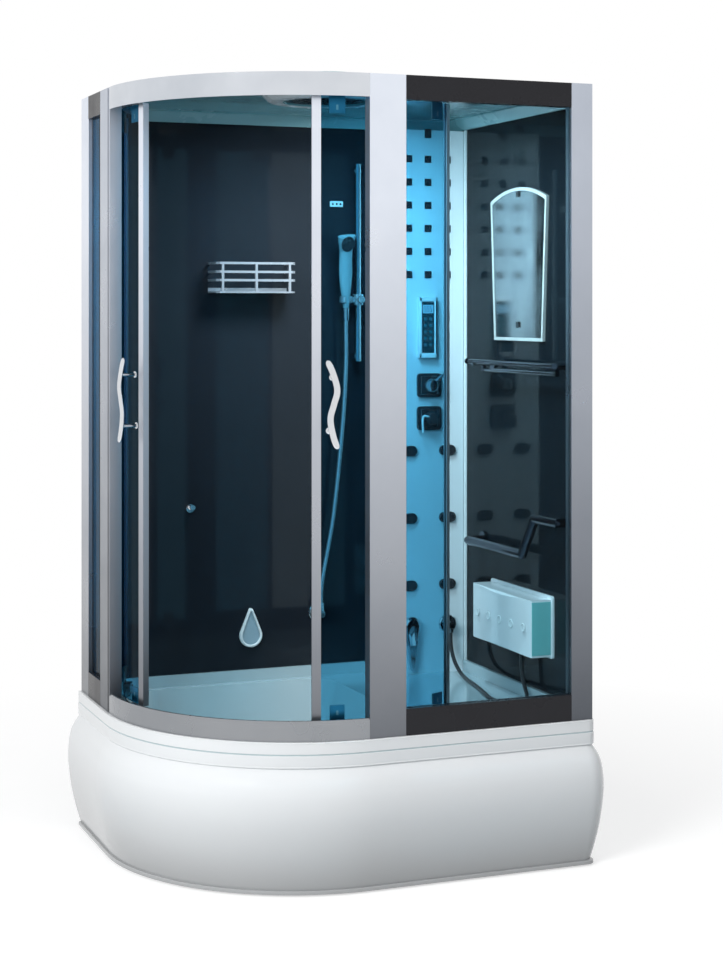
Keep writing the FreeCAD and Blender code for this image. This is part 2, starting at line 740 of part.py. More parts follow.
head_z = "(%s - size.band_top)" % frame_top
front_length = "(%s - %s)" % (front_pane_end, front_pane_x)
low_band = band("front_foot_band", (front_pane_x, front_face, ledge), front_length, "size.band_bottom", True)
top_band = band("front_head_band", (front_pane_x, front_face, head_z), front_length, "size.band_top", False)
group = doc.addObject("Part::Compound", "front_bands")
group.Links = [low_band, top_band]
keep(group, "front_bands")


def side_band(label, level, height, slot_up):
    body = new_body(label, (left_face, jamb_end, level))
    sketch = new_sketch(body, "section", "XZ_Plane")
    depth, wall = "size.band_depth", "size.band_wall"
    outline(sketch, [("0", "0"), (depth, "0"), (depth, height), ("0", height)])
    length = "(%s - %s)" % (rear_start, jamb_end)
    pad(body, sketch, length, True)
    edge = "(%s - %s)" % (height, deep) if slot_up else deep
    low, high = (edge, height) if slot_up else ("0", edge)
    sketch = new_sketch(body, "slot", "XZ_Plane")
    outline(sketch, [(slot_low, low), (slot_high, low), (slot_high, high), (slot_low, high)])
    pocket(body, sketch, length)
    sketch = new_sketch(body, "hollow", "XZ_Plane")
    start = wall if slot_up else "(%s + %s)" % (deep, wall)
    stop = "(%s - %s - %s)" % (height, deep, wall) if slot_up else "(%s - %s)" % (height, wall)
    outline(sketch, [(wall, start), ("%s - %s" % (depth, wall), start), ("%s - %s" % (depth, wall), stop),
                     (wall, stop)])
    pocket(body, sketch, length)
    return body


group = doc.addObject("Part::Compound", "left_bands")
group.Links = [side_band("left_foot_band", ledge, "size.band_bottom", True),
               side_band("left_head_band", head_z, "size.band_top", False)]
keep(group, "left_bands")


# Rings about the quarter round's centre, from an outline in (radius, height) and two compass angles.
def swept(label, corners, start, angle, level="0"):
    body = new_body(label, (arc_x, arc_y, level))
    body.setExpression("Placement.Rotation.Angle", start)
    body.Placement = FreeCAD.Placement(body.Placement.Base, FreeCAD.Rotation(vector(0, 0, 1), number(start)))
    sketch = new_sketch(body, "section", "XZ_Plane")
    outline(sketch, corners)
    spin(body, sketch, "V_Axis", angle)
    return body


reach = "size.corner_radius"
wall = "size.rail_wall"
body = swept("top_curved_rail", [
    ("%s - %s" % (reach, wall), "0"), (reach, "0"), (reach, "size.rail_top_height"),
    ("%s - size.rail_shelf / 2" % reach, "size.rail_top_height"),
    ("%s - size.rail_shelf / 2" % reach, "size.rail_top_height - size.lip_wall"),
    ("%s - %s" % (reach, wall), "size.rail_top_height - size.lip_wall")],
    "180", "90", "%s - size.rail_top_height" % frame_top)
keep(body, "top_curved_rail")
body = swept("bottom_curved_rail", [
    ("%s - size.rail_shelf" % reach, "0"), (reach, "0"), (reach, "size.rail_bottom_height - 6"),
    ("%s - 4" % reach, "size.rail_bottom_height"), ("%s - %s * 2.5" % (reach, wall), "size.rail_bottom_height"),
    ("%s - %s * 2.5" % (reach, wall), "4"), ("%s - size.rail_shelf" % reach, "4")],
    "180", "90", ledge)
keep(body, "bottom_curved_rail")

# Door tracks: a ledge that the rollers run on, hung under the roof, and a low guide rib on the tub.
track_low = "(%s - 50)" % frame_top
run_z = "(%s + 8)" % track_low
hang = "(50 - size.lip_wall - size.run_gap - size.roof_sheet)"
thin = "size.track_wall"
sweep_start = "180 - size.track_overrun"
sweep_angle = "90 + 2 * size.track_overrun"
upper = swept("upper_track", [
    ("size.track_radius - 12", "4"), ("size.track_radius + 8", "4"), ("size.track_radius + 8", "8"),
    ("size.track_radius - 9", "8"), ("size.track_radius - 9", hang), ("size.track_radius - 12", hang)],
    sweep_start, sweep_angle, track_low)
lower = swept("lower_track", [
    ("size.track_radius - 0.5", "0"), ("size.track_radius + 12", "0"), ("size.track_radius + 12", thin),
    ("size.track_radius + 2.5", thin), ("size.track_radius + 2.5", "26"), ("size.track_radius - 0.5", "26")],
    sweep_start, sweep_angle, ledge)
group = doc.addObject("Part::Compound", "door_tracks")
group.Links = [upper, lower]
keep(group, "door_tracks")


# Curved doors: pane, edge profiles, hangers with guides, rollers and an S-shaped pull.
door_low = "(size.tub_height + size.door_foot)"
door_tall = "(size.frame_height - size.door_foot - size.door_head)"
pane_in = "(size.door_radius - size.door_thick / 2)"
pane_out = "(size.door_radius + size.door_thick / 2)"
degree = math.pi / 180.0


def arc_of(length, radius):
    """Angle in degrees that a length takes up at a radius, as an expression."""
    return "(%s / %s * 180 / pi)" % (length, radius)


profile_angle = arc_of("size.profile_width", "size.door_radius")
trail_angle = arc_of("size.trail_width", "size.door_radius")
half_profile = "size.profile_depth / 2"


def door(side, lead, way):
    """One door: lead is the compass angle of its free edge and way is +1 where the pane lies at larger angles."""
    def turned(label, corners, start, angle, level):
        first = start if way > 0 else "(%s - (%s))" % (start, angle)
        return swept(label, corners, first, angle, level)

    def at(offset):
        return "(%s + %d * %s)" % (lead, way, offset)

    slab_corners = [(pane_in, "0"), (pane_out, "0"), (pane_out, door_tall), (pane_in, door_tall)]
    keep(turned(side + "_door_glass", slab_corners, at("(%s / 2)" % profile_angle),
                "size.door_span - %s / 2 - %s / 2" % (profile_angle, trail_angle), door_low),
         side + "_door_glass")

    stiles = []
    for name, width, start in (("lead", profile_angle, at("0")),
                               ("trail", trail_angle, at("(size.door_span - %s)" % trail_angle))):
        depth = half_profile if name == "lead" else "(size.door_thick / 2 + 3)"
        bar = turned(side + "_%s_bar" % name,
                     [("size.door_radius - %s" % depth, "0"), ("size.door_radius + %s" % depth, "0"),
                      ("size.door_radius + %s" % depth, "%s" % door_tall),
                      ("size.door_radius - %s" % depth, "%s" % door_tall)], start, width, door_low)
        stiles.append(bar)
    group = doc.addObject("Part::Compound", side + "_stiles")
    group.Links = stiles
    pane = turned(side + "_pane_way",
                  [("%s - 0" % pane_in, "-1"), (pane_out, "-1"), (pane_out, "%s + 1" % door_tall),
                   (pane_in, "%s + 1" % door_tall)], at("(%s / 2)" % profile_angle),
                  "size.door_span - %s / 2 - %s / 2" % (profile_angle, trail_angle), door_low)
    keep(cut(side + "_door_stiles", group, pane), side + "_door_stiles")

    spots = ["(%s + 5)" % profile_angle, "(size.door_span - 5)"]
    carriers = []
    z_run = number(run_z) + size["roller_radius"] + size["run_gap"]
    for spot in spots:
        angle = number(at(spot))
        inner = size["door_radius"] - size["door_thick"] / 2
        high = number(door_low) + number(door_tall)
        plate = Part.makeBox(4.0, 44.0, z_run + 10.0 - (high - 46.0),
                             vector(inner - 4.0 - 0.7, -22.0, high - 46.0))
        pads = [Part.makeBox(0.7, 6.0, 14.0, vector(inner - 0.75, -3.0, high - 37.0))]
        axle_end = size["track_radius"] - size["roller_width"] / 2 - 3.0
        axle = rod(vector(axle_end, 0, z_run), vector(1, 0, 0), 4.0, inner - 4.7 - axle_end)
        low = number(door_low)
        shoe = Part.makeBox(inner - 0.7 - (size["track_radius"] - 8.0), 40.0, 26.0,
                            vector(size["track_radius"] - 8.0, -20.0, z_ledge + 12.0))
        reach_in = size["track_radius"] - 0.5 - size["guide_gap"]
        reach_out = size["track_radius"] + 2.5 + size["guide_gap"]
        way_cut = Part.makeCylinder(reach_out, 16.5, vector(0, 0, z_ledge + 11.0)).cut(
            Part.makeCylinder(reach_in, 16.5, vector(0, 0, z_ledge + 11.0)))
        web = Part.makeBox(4.0, 40.0, low + 40.0 - (z_ledge + 12.0), vector(inner - 4.7, -20.0, z_ledge + 12.0))
        foot_pads = [Part.makeBox(0.7, 6.0, 12.0, vector(inner - 0.75, -3.0, low + 14.0))]
        for solid in (plate.fuse(pads + [axle]), shoe.cut(way_cut).fuse([web] + foot_pads)):
            solid = solid.removeSplitter()
            solid.rotate(vector(0, 0, 0), vector(0, 0, 1), angle)
            solid.translate(vector(x_arc, y_arc, 0))
            carriers.append(solid)
    feature(side + "_door_carriers", Part.makeCompound(carriers))

    for index, spot in enumerate(spots, start=1):
        angle = number(at(spot))
        label = "%s_roller_%d" % (side, index)
        outward = vector(math.cos(angle * degree), math.sin(angle * degree), 0)
        spot_at = vector(x_arc, y_arc, z_run) + outward * (size["track_radius"] - size["roller_width"] / 2)
        wheel = rod(spot_at, outward, size["roller_radius"], size["roller_width"], 24)
        feature(label, wheel.cut(rod(spot_at, outward, 4.2, size["roller_width"], 12)))

    grip = size["handle_length"] / 232.0
    swing = [(18.0, 116.0), (3.0, 84.0), (-9.0, 38.0), (0.0, 0.0), (9.0, -38.0), (1.0, -84.0), (-11.0, -116.0)]
    bar_radius = size["door_radius"] + size["door_thick"] / 2 + size["handle_reach"]
    z_grip = z_ledge + size["handle_height"]
    sides = []
    for shift in (-size["handle_width"] / 2, size["handle_width"] / 2):
        spine = Part.BSplineCurve()
        spine.interpolate([vector(bar_radius - 4.0, -way * t + shift, z_grip + grip * high) for t, high in swing])
        sides.append(spine.discretize(13))
    border = sides[0] + sides[1][::-1] + sides[0][:1]
    bar = Part.Face(Part.makePolygon(border)).extrude(vector(8.0, 0, 0))
    posts = []
    for sign in (-1, 1):
        level = sign * size["boss_spacing"] / 2
        offset = -4.0 if sign > 0 else 5.0
        start = size["door_radius"] + size["door_thick"] / 2
        foot = vector(start + 0.02, -way * offset, z_grip + level)
        posts.append(rod(foot, vector(1, 0, 0), 5.0, size["handle_reach"] - 2.0))
        posts.append(rod(foot, vector(1, 0, 0), 9.0, 4.0))
    grip_shape = bar.fuse(posts)
    angle = number(at("size.handle_angle"))
    grip_shape.rotate(vector(0, 0, 0), vector(0, 0, 1), angle)
    grip_shape.translate(vector(x_arc, y_arc, 0))
    feature(side + "_door_handle", grip_shape)


door("left", "(180 + size.left_open)", -1)
door("right", "(270 - size.right_open)", 1)

# Roof: a dished sheet with a deep well inside the tracks and a coved cornice along both walls.
sheet_low = z_top - size["roof_drop"] - size["roof_sheet"]
track_in = size["track_radius"] - 12.0


def ceiling_wire(inset, z):
    """Plan of the ceiling inside the tracks, out to the two walls."""
    radius = track_in - 2.0 - inset
    right, back = x_wall - 0.5 - inset, y_wall - 0.5 - inset
    front = y_front + size["post_depth"] + 4.0 + inset
    swing = math.radians(size["track_overrun"] + 4.0)
    first = vector(x_arc - radius * math.cos(swing), y_arc + radius * math.sin(swing), z)
    last = vector(x_arc + radius * math.sin(swing), y_arc - radius * math.cos(swing), z)
    slant = radius * math.sqrt(0.5)
    points = [last, vector(last.x + 20.0, front, z), vector(right, front, z), vector(right, back, z),
              vector(first.x, back, z), first]
    edges = [Part.Arc(first, vector(x_arc - slant, y_arc - slant, z), last).toShape()]
    for start, end in zip(points, points[1:]):
        edges.append(Part.LineSegment(start, end).toShape())
    return Part.Wire(edges)


sheet_wall = size["roof_sheet"]
lid_low = z_top - size["lip_wall"] - size["run_gap"] - sheet_wall
roof = slab(ceiling_wire(0.0, sheet_low), lid_low + sheet_wall - sheet_low)
roof = roof.fuse(slab(cabin_wire(-size["rail_wall"] - 2.0, lid_low, y_wall - 1.0), sheet_wall))
roof = roof.cut(slab(ceiling_wire(sheet_wall, sheet_low + sheet_wall), size["roof_drop"] + 10.0))
frame_cut = []
for low_x, high_x in ((x_arc - 2.0, x_arc + size["wide_post_width"] + 2.0),
                      (x_right - size["right_post_width"] - 2.0, x_right + 5.0)):
    frame_cut.append(Part.makeBox(high_x - low_x, size["post_depth"] + 2.0, 60.0,
                                  vector(low_x, y_front - 1.0, z_top - 50.0)))
frame_cut.append(Part.makeBox(x_right - x_arc, size["band_depth"] + 1.0, 60.0,
                              vector(x_arc, y_front - 1.0, z_top - 50.0)))
frame_cut.append(Part.makeBox(size["post_depth"] + 2.0, y_back - y_arc + 2.0, 60.0,
                              vector(x_left - 1.0, y_arc - 2.0, z_top - 50.0)))
frame_cut.append(Part.makeBox(80.0, y_back - y_front, 60.0, vector(x_wall - 0.5, y_front, z_top - 50.0)))
roof = roof.cut(frame_cut)
cove_top = sheet_low
cove = [(0.0, 0.0), (0.0, -size["cornice_drop"]), (-8.0, -size["cornice_drop"]), (-size["cornice_width"], -5.0),
        (-size["cornice_width"], 0.0)]
cove_left = x_arc - (track_in - 2.0) * math.cos(math.radians(size["track_overrun"] + 4.0))
rear_cove = Part.Face(Part.makePolygon([vector(cove_left, y_wall - 0.5 + a, cove_top + b)
                                        for a, b in cove + cove[:1]]))
rear_cove = rear_cove.extrude(vector(x_wall - 0.5 - cove_left, 0, 0))
side_cove = Part.Face(Part.makePolygon([vector(x_wall - 0.5 + a, y_front + size["post_depth"] + 4.0, cove_top + b)
                                        for a, b in cove + cove[:1]]))
side_cove = side_cove.extrude(vector(0, y_wall - 0.5 - y_front - size["post_depth"] - 4.0, 0))
track_zone = Part.makeCylinder(track_in + 26.0, 200.0, vector(x_arc, y_arc, z_top - 150.0)).cut(
    Part.makeCylinder(track_in - 2.0, 200.0, vector(x_arc, y_arc, z_top - 150.0)))
roof = roof.fuse([rear_cove.cut(track_zone), side_cove.cut(track_zone)])
fan_hole = rod(vector(size["ring_x"], size["ring_y"], sheet_low - 5.0), up, size["fan_radius"] - 10.0, 90.0, 24)
roof = roof.cut(fan_hole).removeSplitter()

# Ceiling ring, its dark slotted grille and the fan behind it.
ring_top = "(%s - size.roof_drop - size.roof_sheet)" % frame_top
ring_at = vector(size["ring_x"], size["ring_y"], sheet_low)
ring = stack(ring_at, vector(0, 0, -1), [(0.0, size["ring_radius"]), (size["ring_drop"] - 5.0, size["ring_radius"] - 14.0),
                                         (size["ring_drop"], size["fan_radius"] + 6.0)], 24)
ring = ring.cut(rod(ring_at + vector(0, 0, -30.0), up, size["fan_radius"] + 0.4, 60.0, 24))

grille = rod(ring_at + vector(0, 0, 5.0 - size["ring_drop"]), up, size["fan_radius"] - size["slot_gap"],
             size["ring_drop"] - 5.0, 24)
slots = []
for index in range(int(size["grille_slots"])):
    spread = size["fan_radius"] - 14.0
    slot = Part.Face(Part.makePolygon([vector(24.0, -2.5, 0), vector(spread, -5.0, 0), vector(spread, 5.0, 0),
                                       vector(24.0, 2.5, 0), vector(24.0, -2.5, 0)])).extrude(vector(0, 0, 40.0))
    slot.rotate(vector(0, 0, 0), up, 360.0 * index / size["grille_slots"])
    slot.translate(ring_at + vector(0, 0, -30.0))
    slots.append(slot)
feature("fan_grille", grille.cut(slots))

rotor_z = sheet_low + 6.0
rotor_high = 22.0
blades = []
count = int(size["blade_count"])
rotor_radius = size["fan_radius"] - 20.0
for index in range(count):
    blade = Part.makeBox(math.sqrt(rotor_radius ** 2 - 22.0 ** 2) - 16.0, 44.0, 2.2, vector(16.0, -22.0, -1.1))
    blade.rotate(vector(0, 0, 0), vector(1, 0, 0), size["blade_pitch"])
    blade.translate(vector(0, 0, rotor_high / 2))
    blade.rotate(vector(0, 0, 0), vector(0, 0, 1), 360.0 * index / count)
    blades.append(blade)
hub = stack(vector(0, 0, 0), vector(0, 0, 1), [(0.0, 26.0), (3.0, 30.0), (rotor_high, 30.0)], 20)
shaft_bore = rod(vector(0, 0, -1.0), vector(0, 0, 1), 4.2, rotor_high + 2.0)
rotor = hub.fuse(blades).cut(shaft_bore).removeSplitter()
rotor.translate(vector(size["ring_x"], size["ring_y"], rotor_z))
feature("fan_rotor", rotor)

cup_low = sheet_low + sheet_wall
cup_radius = size["fan_radius"] - 4.0
cup_high = size["fan_rise"]
cup = rod(vector(0, 0, 0), up, cup_radius, cup_high, 24)
cup = cup.cut(rod(vector(0, 0, -1.0), up, cup_radius - 3.0, cup_high - 2.0, 24))
spokes = [rod(vector(0, 0, rotor_high + 4.0), vector(0, 0, 1), 26.0, cup_high - rotor_high - 2.0 - sheet_wall, 16)]
pin = rod(vector(0, 0, 4.0), vector(0, 0, 1), 4.0, cup_high - 7.0)
lid = cup.fuse(spokes + [pin])
lid = lid.cut([Part.makeBox(40.0, 12.0, 10.0, vector(-60.0 + 80.0 * side, -6.0, cup_high - 6.0))
               for side in (-0.25, 1.25)])
lid.translate(vector(size["ring_x"], size["ring_y"], cup_low))
feature("roof_canopy", Part.makeCompound([roof, ring.removeSplitter(), lid.removeSplitter()]))

# Wall column: a hollow shell, open at the back, that carries the jets and the controls.
body = new_body("column", (column_x, column_y, ledge))
sketch = new_sketch(body, "section")
outline(sketch, [("0", "0"), ("size.column_width", "0"), ("size.column_width", "size.column_depth"),
                 ("0", "size.column_depth")])
column_tall = "(size.frame_height - size.column_headroom)"
base = pad(body, sketch, column_tall)
rounded(body, base, lambda edge: along(2)(edge) and abs(edge.Vertexes[0].Y) < 1e-6, "size.column_round")
sketch = new_sketch(body, "hollow")
thick = "size.column_wall"
outline(sketch, [(thick, thick), ("size.column_width - %s" % thick, thick),
                 ("size.column_width - %s" % thick, "size.column_depth"), (thick, "size.column_depth")])
sketch.setExpression("AttachmentOffset.Base.z", thick)
pocket(body, sketch, "%s - 2 * %s" % (column_tall, thick), True)
keep(body, "column")

def plate(label, x, z, width, height, depth, corner):
    """Rounded plate that stands on the column's front face."""
    body = new_body(label, (x, column_y, z), turn_x)
    sketch = new_sketch(body, "face")
    outline(sketch, [("-%s / 2" % width, "-%s / 2" % height), ("%s / 2" % width, "-%s / 2" % height),
                     ("%s / 2" % width, "%s / 2" % height), ("-%s / 2" % width, "%s / 2" % height)])
    base = pad(body, sketch, depth)
    return body, rounded(body, base, along(2), corner)


jets = []
half_jet = size["jet_size"] / 2
jet_rows = int((size["frame_height"] - size["column_headroom"] - size["jet_first"] - 15.0) / size["jet_pitch"])
for column in (-1, 0, 1):
    for row in range(jet_rows):
        x = x_mid + column * size["jet_spread"]
        z = z_ledge + size["jet_first"] + row * size["jet_pitch"]
        jet = Part.makeBox(size["jet_size"], size["jet_proud"], size["jet_size"],
                           vector(x - half_jet, y_column - size["jet_proud"], z - half_jet))
        face_y = y_column - size["jet_proud"]
        jets.append(jet.makeChamfer(1.5, [edge for edge in jet.Edges if at_level(1, face_y)(edge)]))
x = x_mid
z = z_ledge + size["jet_first"] + jet_rows * size["jet_pitch"] + 5.0
top_jet = Part.makeBox(size["jet_size"], size["jet_proud"], size["jet_size"] * 1.3,
                       vector(x - half_jet, y_column - size["jet_proud"], z - half_jet))
jets.append(top_jet.makeChamfer(1.5, [edge for edge in top_jet.Edges if at_level(1, face_y)(edge)]))

ovals = []
for row in range(3):
    for column in (-1, 1):
        x = x_mid + column * size["jet_spread"]
        z = z_ledge + size["oval_first"] + row * size["oval_pitch"]
        radius = size["oval_high"] / 2
        straight = size["oval_long"] - size["oval_high"]
        turns = [math.pi * step / 6 for step in range(13)]
        rims = []
        for inset, proud in ((0.0, 0.0), (0.0, size["oval_proud"] - 2.5), (2.5, size["oval_proud"])):
            rims.append(Part.makePolygon([vector(
                x + math.copysign(straight / 2, math.cos(turn) + 1e-9) + (radius - inset) * math.cos(turn),
                y_column - proud, z + (radius - inset) * math.sin(turn)) for turn in turns]))
        ovals.append(Part.makeLoft(rims, True, True))

body, base = plate("panel_bezel", "%s - 5" % column_mid, "%s + size.panel_centre" % ledge, "size.panel_width",
                   "size.panel_height", "size.panel_proud", "4")
sketch = new_sketch(body, "window")
sketch.setExpression("AttachmentOffset.Base.z", "size.panel_proud")
side = "(size.panel_width / 2 - size.panel_border)"
rise = "(size.panel_height / 2 - size.panel_border - 6)"
outline(sketch, [("-%s" % side, "-%s" % rise), (side, "-%s" % rise), (side, rise), ("-%s" % side, rise)])
pocket(body, sketch, "4")
keep(body, "panel_bezel")
body = new_body("panel_screen", ("%s - 5" % column_mid, column_y, "%s + size.panel_centre" % ledge), turn_x)
sketch = new_sketch(body, "pane")
sketch.setExpression("AttachmentOffset.Base.z", "size.panel_proud - 4")
trim = "size.slot_gap"
outline(sketch, [("-%s + %s" % (side, trim), "-%s + %s" % (rise, trim)), ("%s - %s" % (side, trim),
                                                                        "-%s + %s" % (rise, trim)),
                 ("%s - %s" % (side, trim), "%s - %s" % (rise, trim)),
                 ("-%s + %s" % (side, trim), "%s - %s" % (rise, trim))])
pad(body, sketch, "3")
keep(body, "panel_screen")


plates = []


def valve(name, z, lever):
    """Square plate with a fixed stem, and the turning knob with its lever over a run of corners."""
    body, base = plate(name + "_plate", "%s + 2" % column_mid, z, "size.plate_width", "size.plate_height",
                       "size.plate_proud", "12")
    doc.recompute()
    spot = vector(x_mid + 2.0, y_column, number(z))
    plate_front, knob_long = size["plate_proud"], size["knob_length"]
    stem = rod(spot + vector(0, 1.0 - plate_front, 0), vector(0, -1, 0), size["stem_radius"], knob_long * 0.6, 12)
    plates.append(body.Shape.fuse(stem).removeSplitter())
    knob_at = spot + vector(0, -plate_front - size["run_gap"], 0)
    knob = stack(knob_at, vector(0, -1, 0), [(0.0, size["knob_radius"]), (knob_long - 2.0, size["knob_radius"]),
                                             (knob_long, size["knob_radius"] - 2.0)], 20)
    corners = [spot + vector(x, -plate_front - knob_long * 0.63, z) for x, z in lever]
    arm = Part.Face(Part.makePolygon(corners + corners[:1])).extrude(vector(0, -knob_long * 0.35, 0))
    bore = rod(knob_at + vector(0, 1.0, 0), vector(0, -1, 0), size["stem_radius"] + 0.4, knob_long * 0.6 + 1.0, 12)
    feature(name + "_lever", knob.fuse(arm).cut(bore).removeSplitter())


mixer_z = "(%s + size.mixer_height)" % ledge
tip, half_tip = size["lever_length"] * 0.72, 3.5
valve("mixer", mixer_z, [(4.0, -5.0), (tip + half_tip, tip - half_tip), (tip - half_tip, tip + half_tip), (-5.0, 4.0)])
diverter_z = "(%s + size.diverter_height)" % ledge
side, drop = -size["lever_length"] * 0.75, -size["lever_length"]
valve("diverter", diverter_z, [(0.0, 8.0), (side, 12.0), (side, drop), (side + 11.0, drop), (side + 11.0, 0.0),
                               (0.0, -4.0)])
feature("column_jets", Part.makeCompound(jets + ovals + plates))


def drop_wire(x, z, width, height, inset, point_up=True):
    """Teardrop: a round end and two sides that close on a small tip, in the XZ plane."""
    radius = width / 2 - inset
    tip = 7.0 - inset * 0.4
    sign = 1.0 if point_up else -1.0
    low = z + (width / 2) * sign if point_up else z + height - width / 2
    high = z + height - 7.0 - inset * 0.8 if point_up else z + 7.0 + inset * 0.8
    gap = abs(high - low)
    lean = math.asin((radius - tip) / gap)

    def spot(cx, cz, r, angle):
        return vector(cx + r * math.cos(angle), 0, cz + sign * r * math.sin(angle))

    right_low, right_high = spot(x, low, radius, lean), spot(x, high, tip, lean)
    left_low, left_high = spot(x, low, radius, math.pi - lean), spot(x, high, tip, math.pi - lean)
    bottom = vector(x, 0, low - sign * radius)
    top = vector(x, 0, high + sign * tip)
    big = Part.Arc(left_low, bottom, right_low).discretize(13)
    small = Part.Arc(right_high, top, left_high).discretize(5)
    return Part.makePolygon(big + small + big[:1])


def drop_plate(x, z, width, height, y, depth, rim, recess, point_up=True):
    rims = []
    for inset, proud in ((0.0, 0.0), (0.0, depth * 0.7), (depth * 0.3, depth)):
        rim_wire = drop_wire(x, z, width, height, inset, point_up)
        rim_wire.translate(vector(0, y - proud, 0))
        rims.append(rim_wire)
    shape = Part.makeLoft(rims, True, True)
    if recess:
        dish = Part.Face(drop_wire(x, z, width, height, rim, point_up)).extrude(vector(0, -depth, 0))
        dish.translate(vector(0, y - depth + recess, 0))
        shape = shape.cut(dish)
    return shape


# Steam outlet on the back wall and the teardrop filler low on the column, with the hose's round outlet.
feature("steam_outlet", drop_plate(size["drop_x"], z_ledge + size["drop_low"], size["drop_width"],
                                   size["drop_height"], y_wall, 11.0, 8.0, 6.0))
filler_x = x_mid - size["jet_spread"] + 6.0
filler = drop_plate(filler_x, z_ledge + 14.0, 54.0, 166.0, y_column, 24.0, 8.0, 0.0, False)
scoop = rod(vector(filler_x, y_column - 30.0, z_ledge + 96.0), vector(0, 0.42, 1), 17.0, 60.0)
filler = filler.cut(scoop).removeSplitter()
outlet_x = x_mid + size["jet_spread"]
outlet_z = z_ledge + size["outlet_height"]
outlet_at = vector(outlet_x, y_column, outlet_z)
outlet = stack(outlet_at, vector(0, -1, 0), [(0.0, 29.0), (7.0, 29.0), (10.0, 26.0)], 20)
elbow_y = y_column - 26.0
throat = rod(outlet_at, vector(0, -1, 0), 11.0, 37.0)
spigot = rod(vector(outlet_x, elbow_y, outlet_z), vector(0, 0, -1), 9.5, 24.0)
outlet = outlet.fuse([throat, spigot]).removeSplitter()


hose_sides = 6


def hose(name, points, radius):
    """Six-sided tube from a level start, on straight runs joined by arcs as large as the runs allow."""
    edges = []
    cursor = points[0]
    radii = []
    for before, corner, after in zip(points, points[1:], points[2:]):
        run_in, run_out = corner - before, after - corner
        turn = run_in.getAngle(run_out)
        bend = 0.45 * min(run_in.Length, run_out.Length) / math.tan(turn / 2)
        setback = bend * math.tan(turn / 2)
        start = corner - run_in.normalize() * setback
        end = corner + run_out.normalize() * setback
        bisector = ((start + end) * 0.5 - corner).normalize()
        middle = corner + bisector * (bend / math.cos(turn / 2) - bend)
        edges.append(Part.LineSegment(cursor, start).toShape())
        edges.append(Part.Arc(start, middle, end).toShape())
        cursor = end
        radii.append(round(bend, 1))
    edges.append(Part.LineSegment(cursor, points[-1]).toShape())
    path = Part.Wire(edges)
    turns = [2 * math.pi * step / hose_sides for step in range(hose_sides + 1)]
    ring = Part.makePolygon([points[0] + vector(radius * math.cos(turn), radius * math.sin(turn), 0) for turn in turns])
    tube = path.makePipe(Part.Face(ring))
    expected = hose_sides / 2 * math.sin(turns[1]) * radius ** 2 * path.Length
    print(name, "length", round(path.Length, 1), "volume share", round(tube.Volume / expected, 4), "radii", radii)
    return feature(name, tube)


seat_z = z_ledge + size["feed_radius"] + 0.4
spigot_end = outlet_z - 24.0
box_feed = [
    vector(outlet_x, elbow_y, spigot_end), vector(outlet_x, elbow_y, spigot_end - 42),
    vector(outlet_x + 1, elbow_y - 24, spigot_end - 84), vector(outlet_x - 2, elbow_y - 76, seat_z + 9),
    vector(outlet_x - 8, elbow_y - 136, seat_z), vector(outlet_x - 19, elbow_y - 210, seat_z),
    vector(outlet_x - 33, elbow_y - 288, seat_z), vector(outlet_x - 51, elbow_y - 364, seat_z),
    vector(outlet_x - 66, elbow_y - 432, seat_z), vector(outlet_x - 52, elbow_y - 490, seat_z),
    vector(outlet_x - 4, elbow_y - 505, seat_z + 1), vector(outlet_x + 30, elbow_y - 476, seat_z + 7),
    vector(outlet_x + 36, elbow_y - 438, seat_z + 34), vector(outlet_x + 34, elbow_y - 425, seat_z + 78),
]
inlet_x, inlet_y = outlet_x + 34.0, elbow_y - 425.0
box_z = z_ledge + size["box_low"]
inlet_low = box_z - 12.0
box_feed.append(vector(inlet_x, inlet_y, inlet_low))
hose("box_hose", box_feed, size["feed_radius"])

# Back massage unit over the seat: a soft-cornered box on a wider back plate, with a hose inlet below.
y_box = size["box_centre"] - size["box_length"] / 2
unit = Part.makeBox(size["box_depth"], size["box_length"], size["box_height"],
                    vector(x_wall - 6.0 - size["box_depth"], y_box, box_z))
unit = unit.makeFillet(9.0, [edge for edge in unit.Edges if edge.BoundBox.XMax < x_wall - 7.0])
backing = Part.makeBox(6.0, size["box_length"] + 16.0, size["box_height"] + 16.0,
                       vector(x_wall - 6.0, y_box - 8.0, box_z - 6.0))
backing = backing.makeFillet(9.0, [edge for edge in backing.Edges if along(0)(edge)])
crown = Part.makeCylinder(size["box_length"] * 6.0, size["box_height"] + 40.0)
crown.translate(vector(x_wall - 6.0 - size["box_depth"] + size["box_length"] * 6.0,
                       size["box_centre"], box_z - 20.0))
unit = unit.common(crown).fuse([backing, rod(vector(inlet_x, inlet_y, inlet_low), vector(0, 0, 1), 9.0, 14.0)])
feature("massage_unit", unit.removeSplitter())

# Hand shower: rail on two wall posts, slider with a cradle, handset, hose and wall elbow.
rail_y = "(%s - size.rail_stand)" % wall_y
rail_point = vector(size["rail_x"], y_wall - size["rail_stand"], 0)
rail_foot = z_ledge + size["rail_low"]
rail_long = z_top - size["rail_headroom"] - rail_foot
pieces = [rod(rail_point + vector(0, 0, rail_foot), vector(0, 0, 1), size["rail_radius"], rail_long, 16)]
for level in (16.0, rail_long - 22.0):
    pieces.append(rod(rail_point + vector(0, 0, rail_foot + level), vector(0, 1, 0), size["rail_radius"] + 2.5,
                      size["rail_stand"], 16))
feature("slide_rail", pieces[0].fuse(pieces[1:]).removeSplitter())

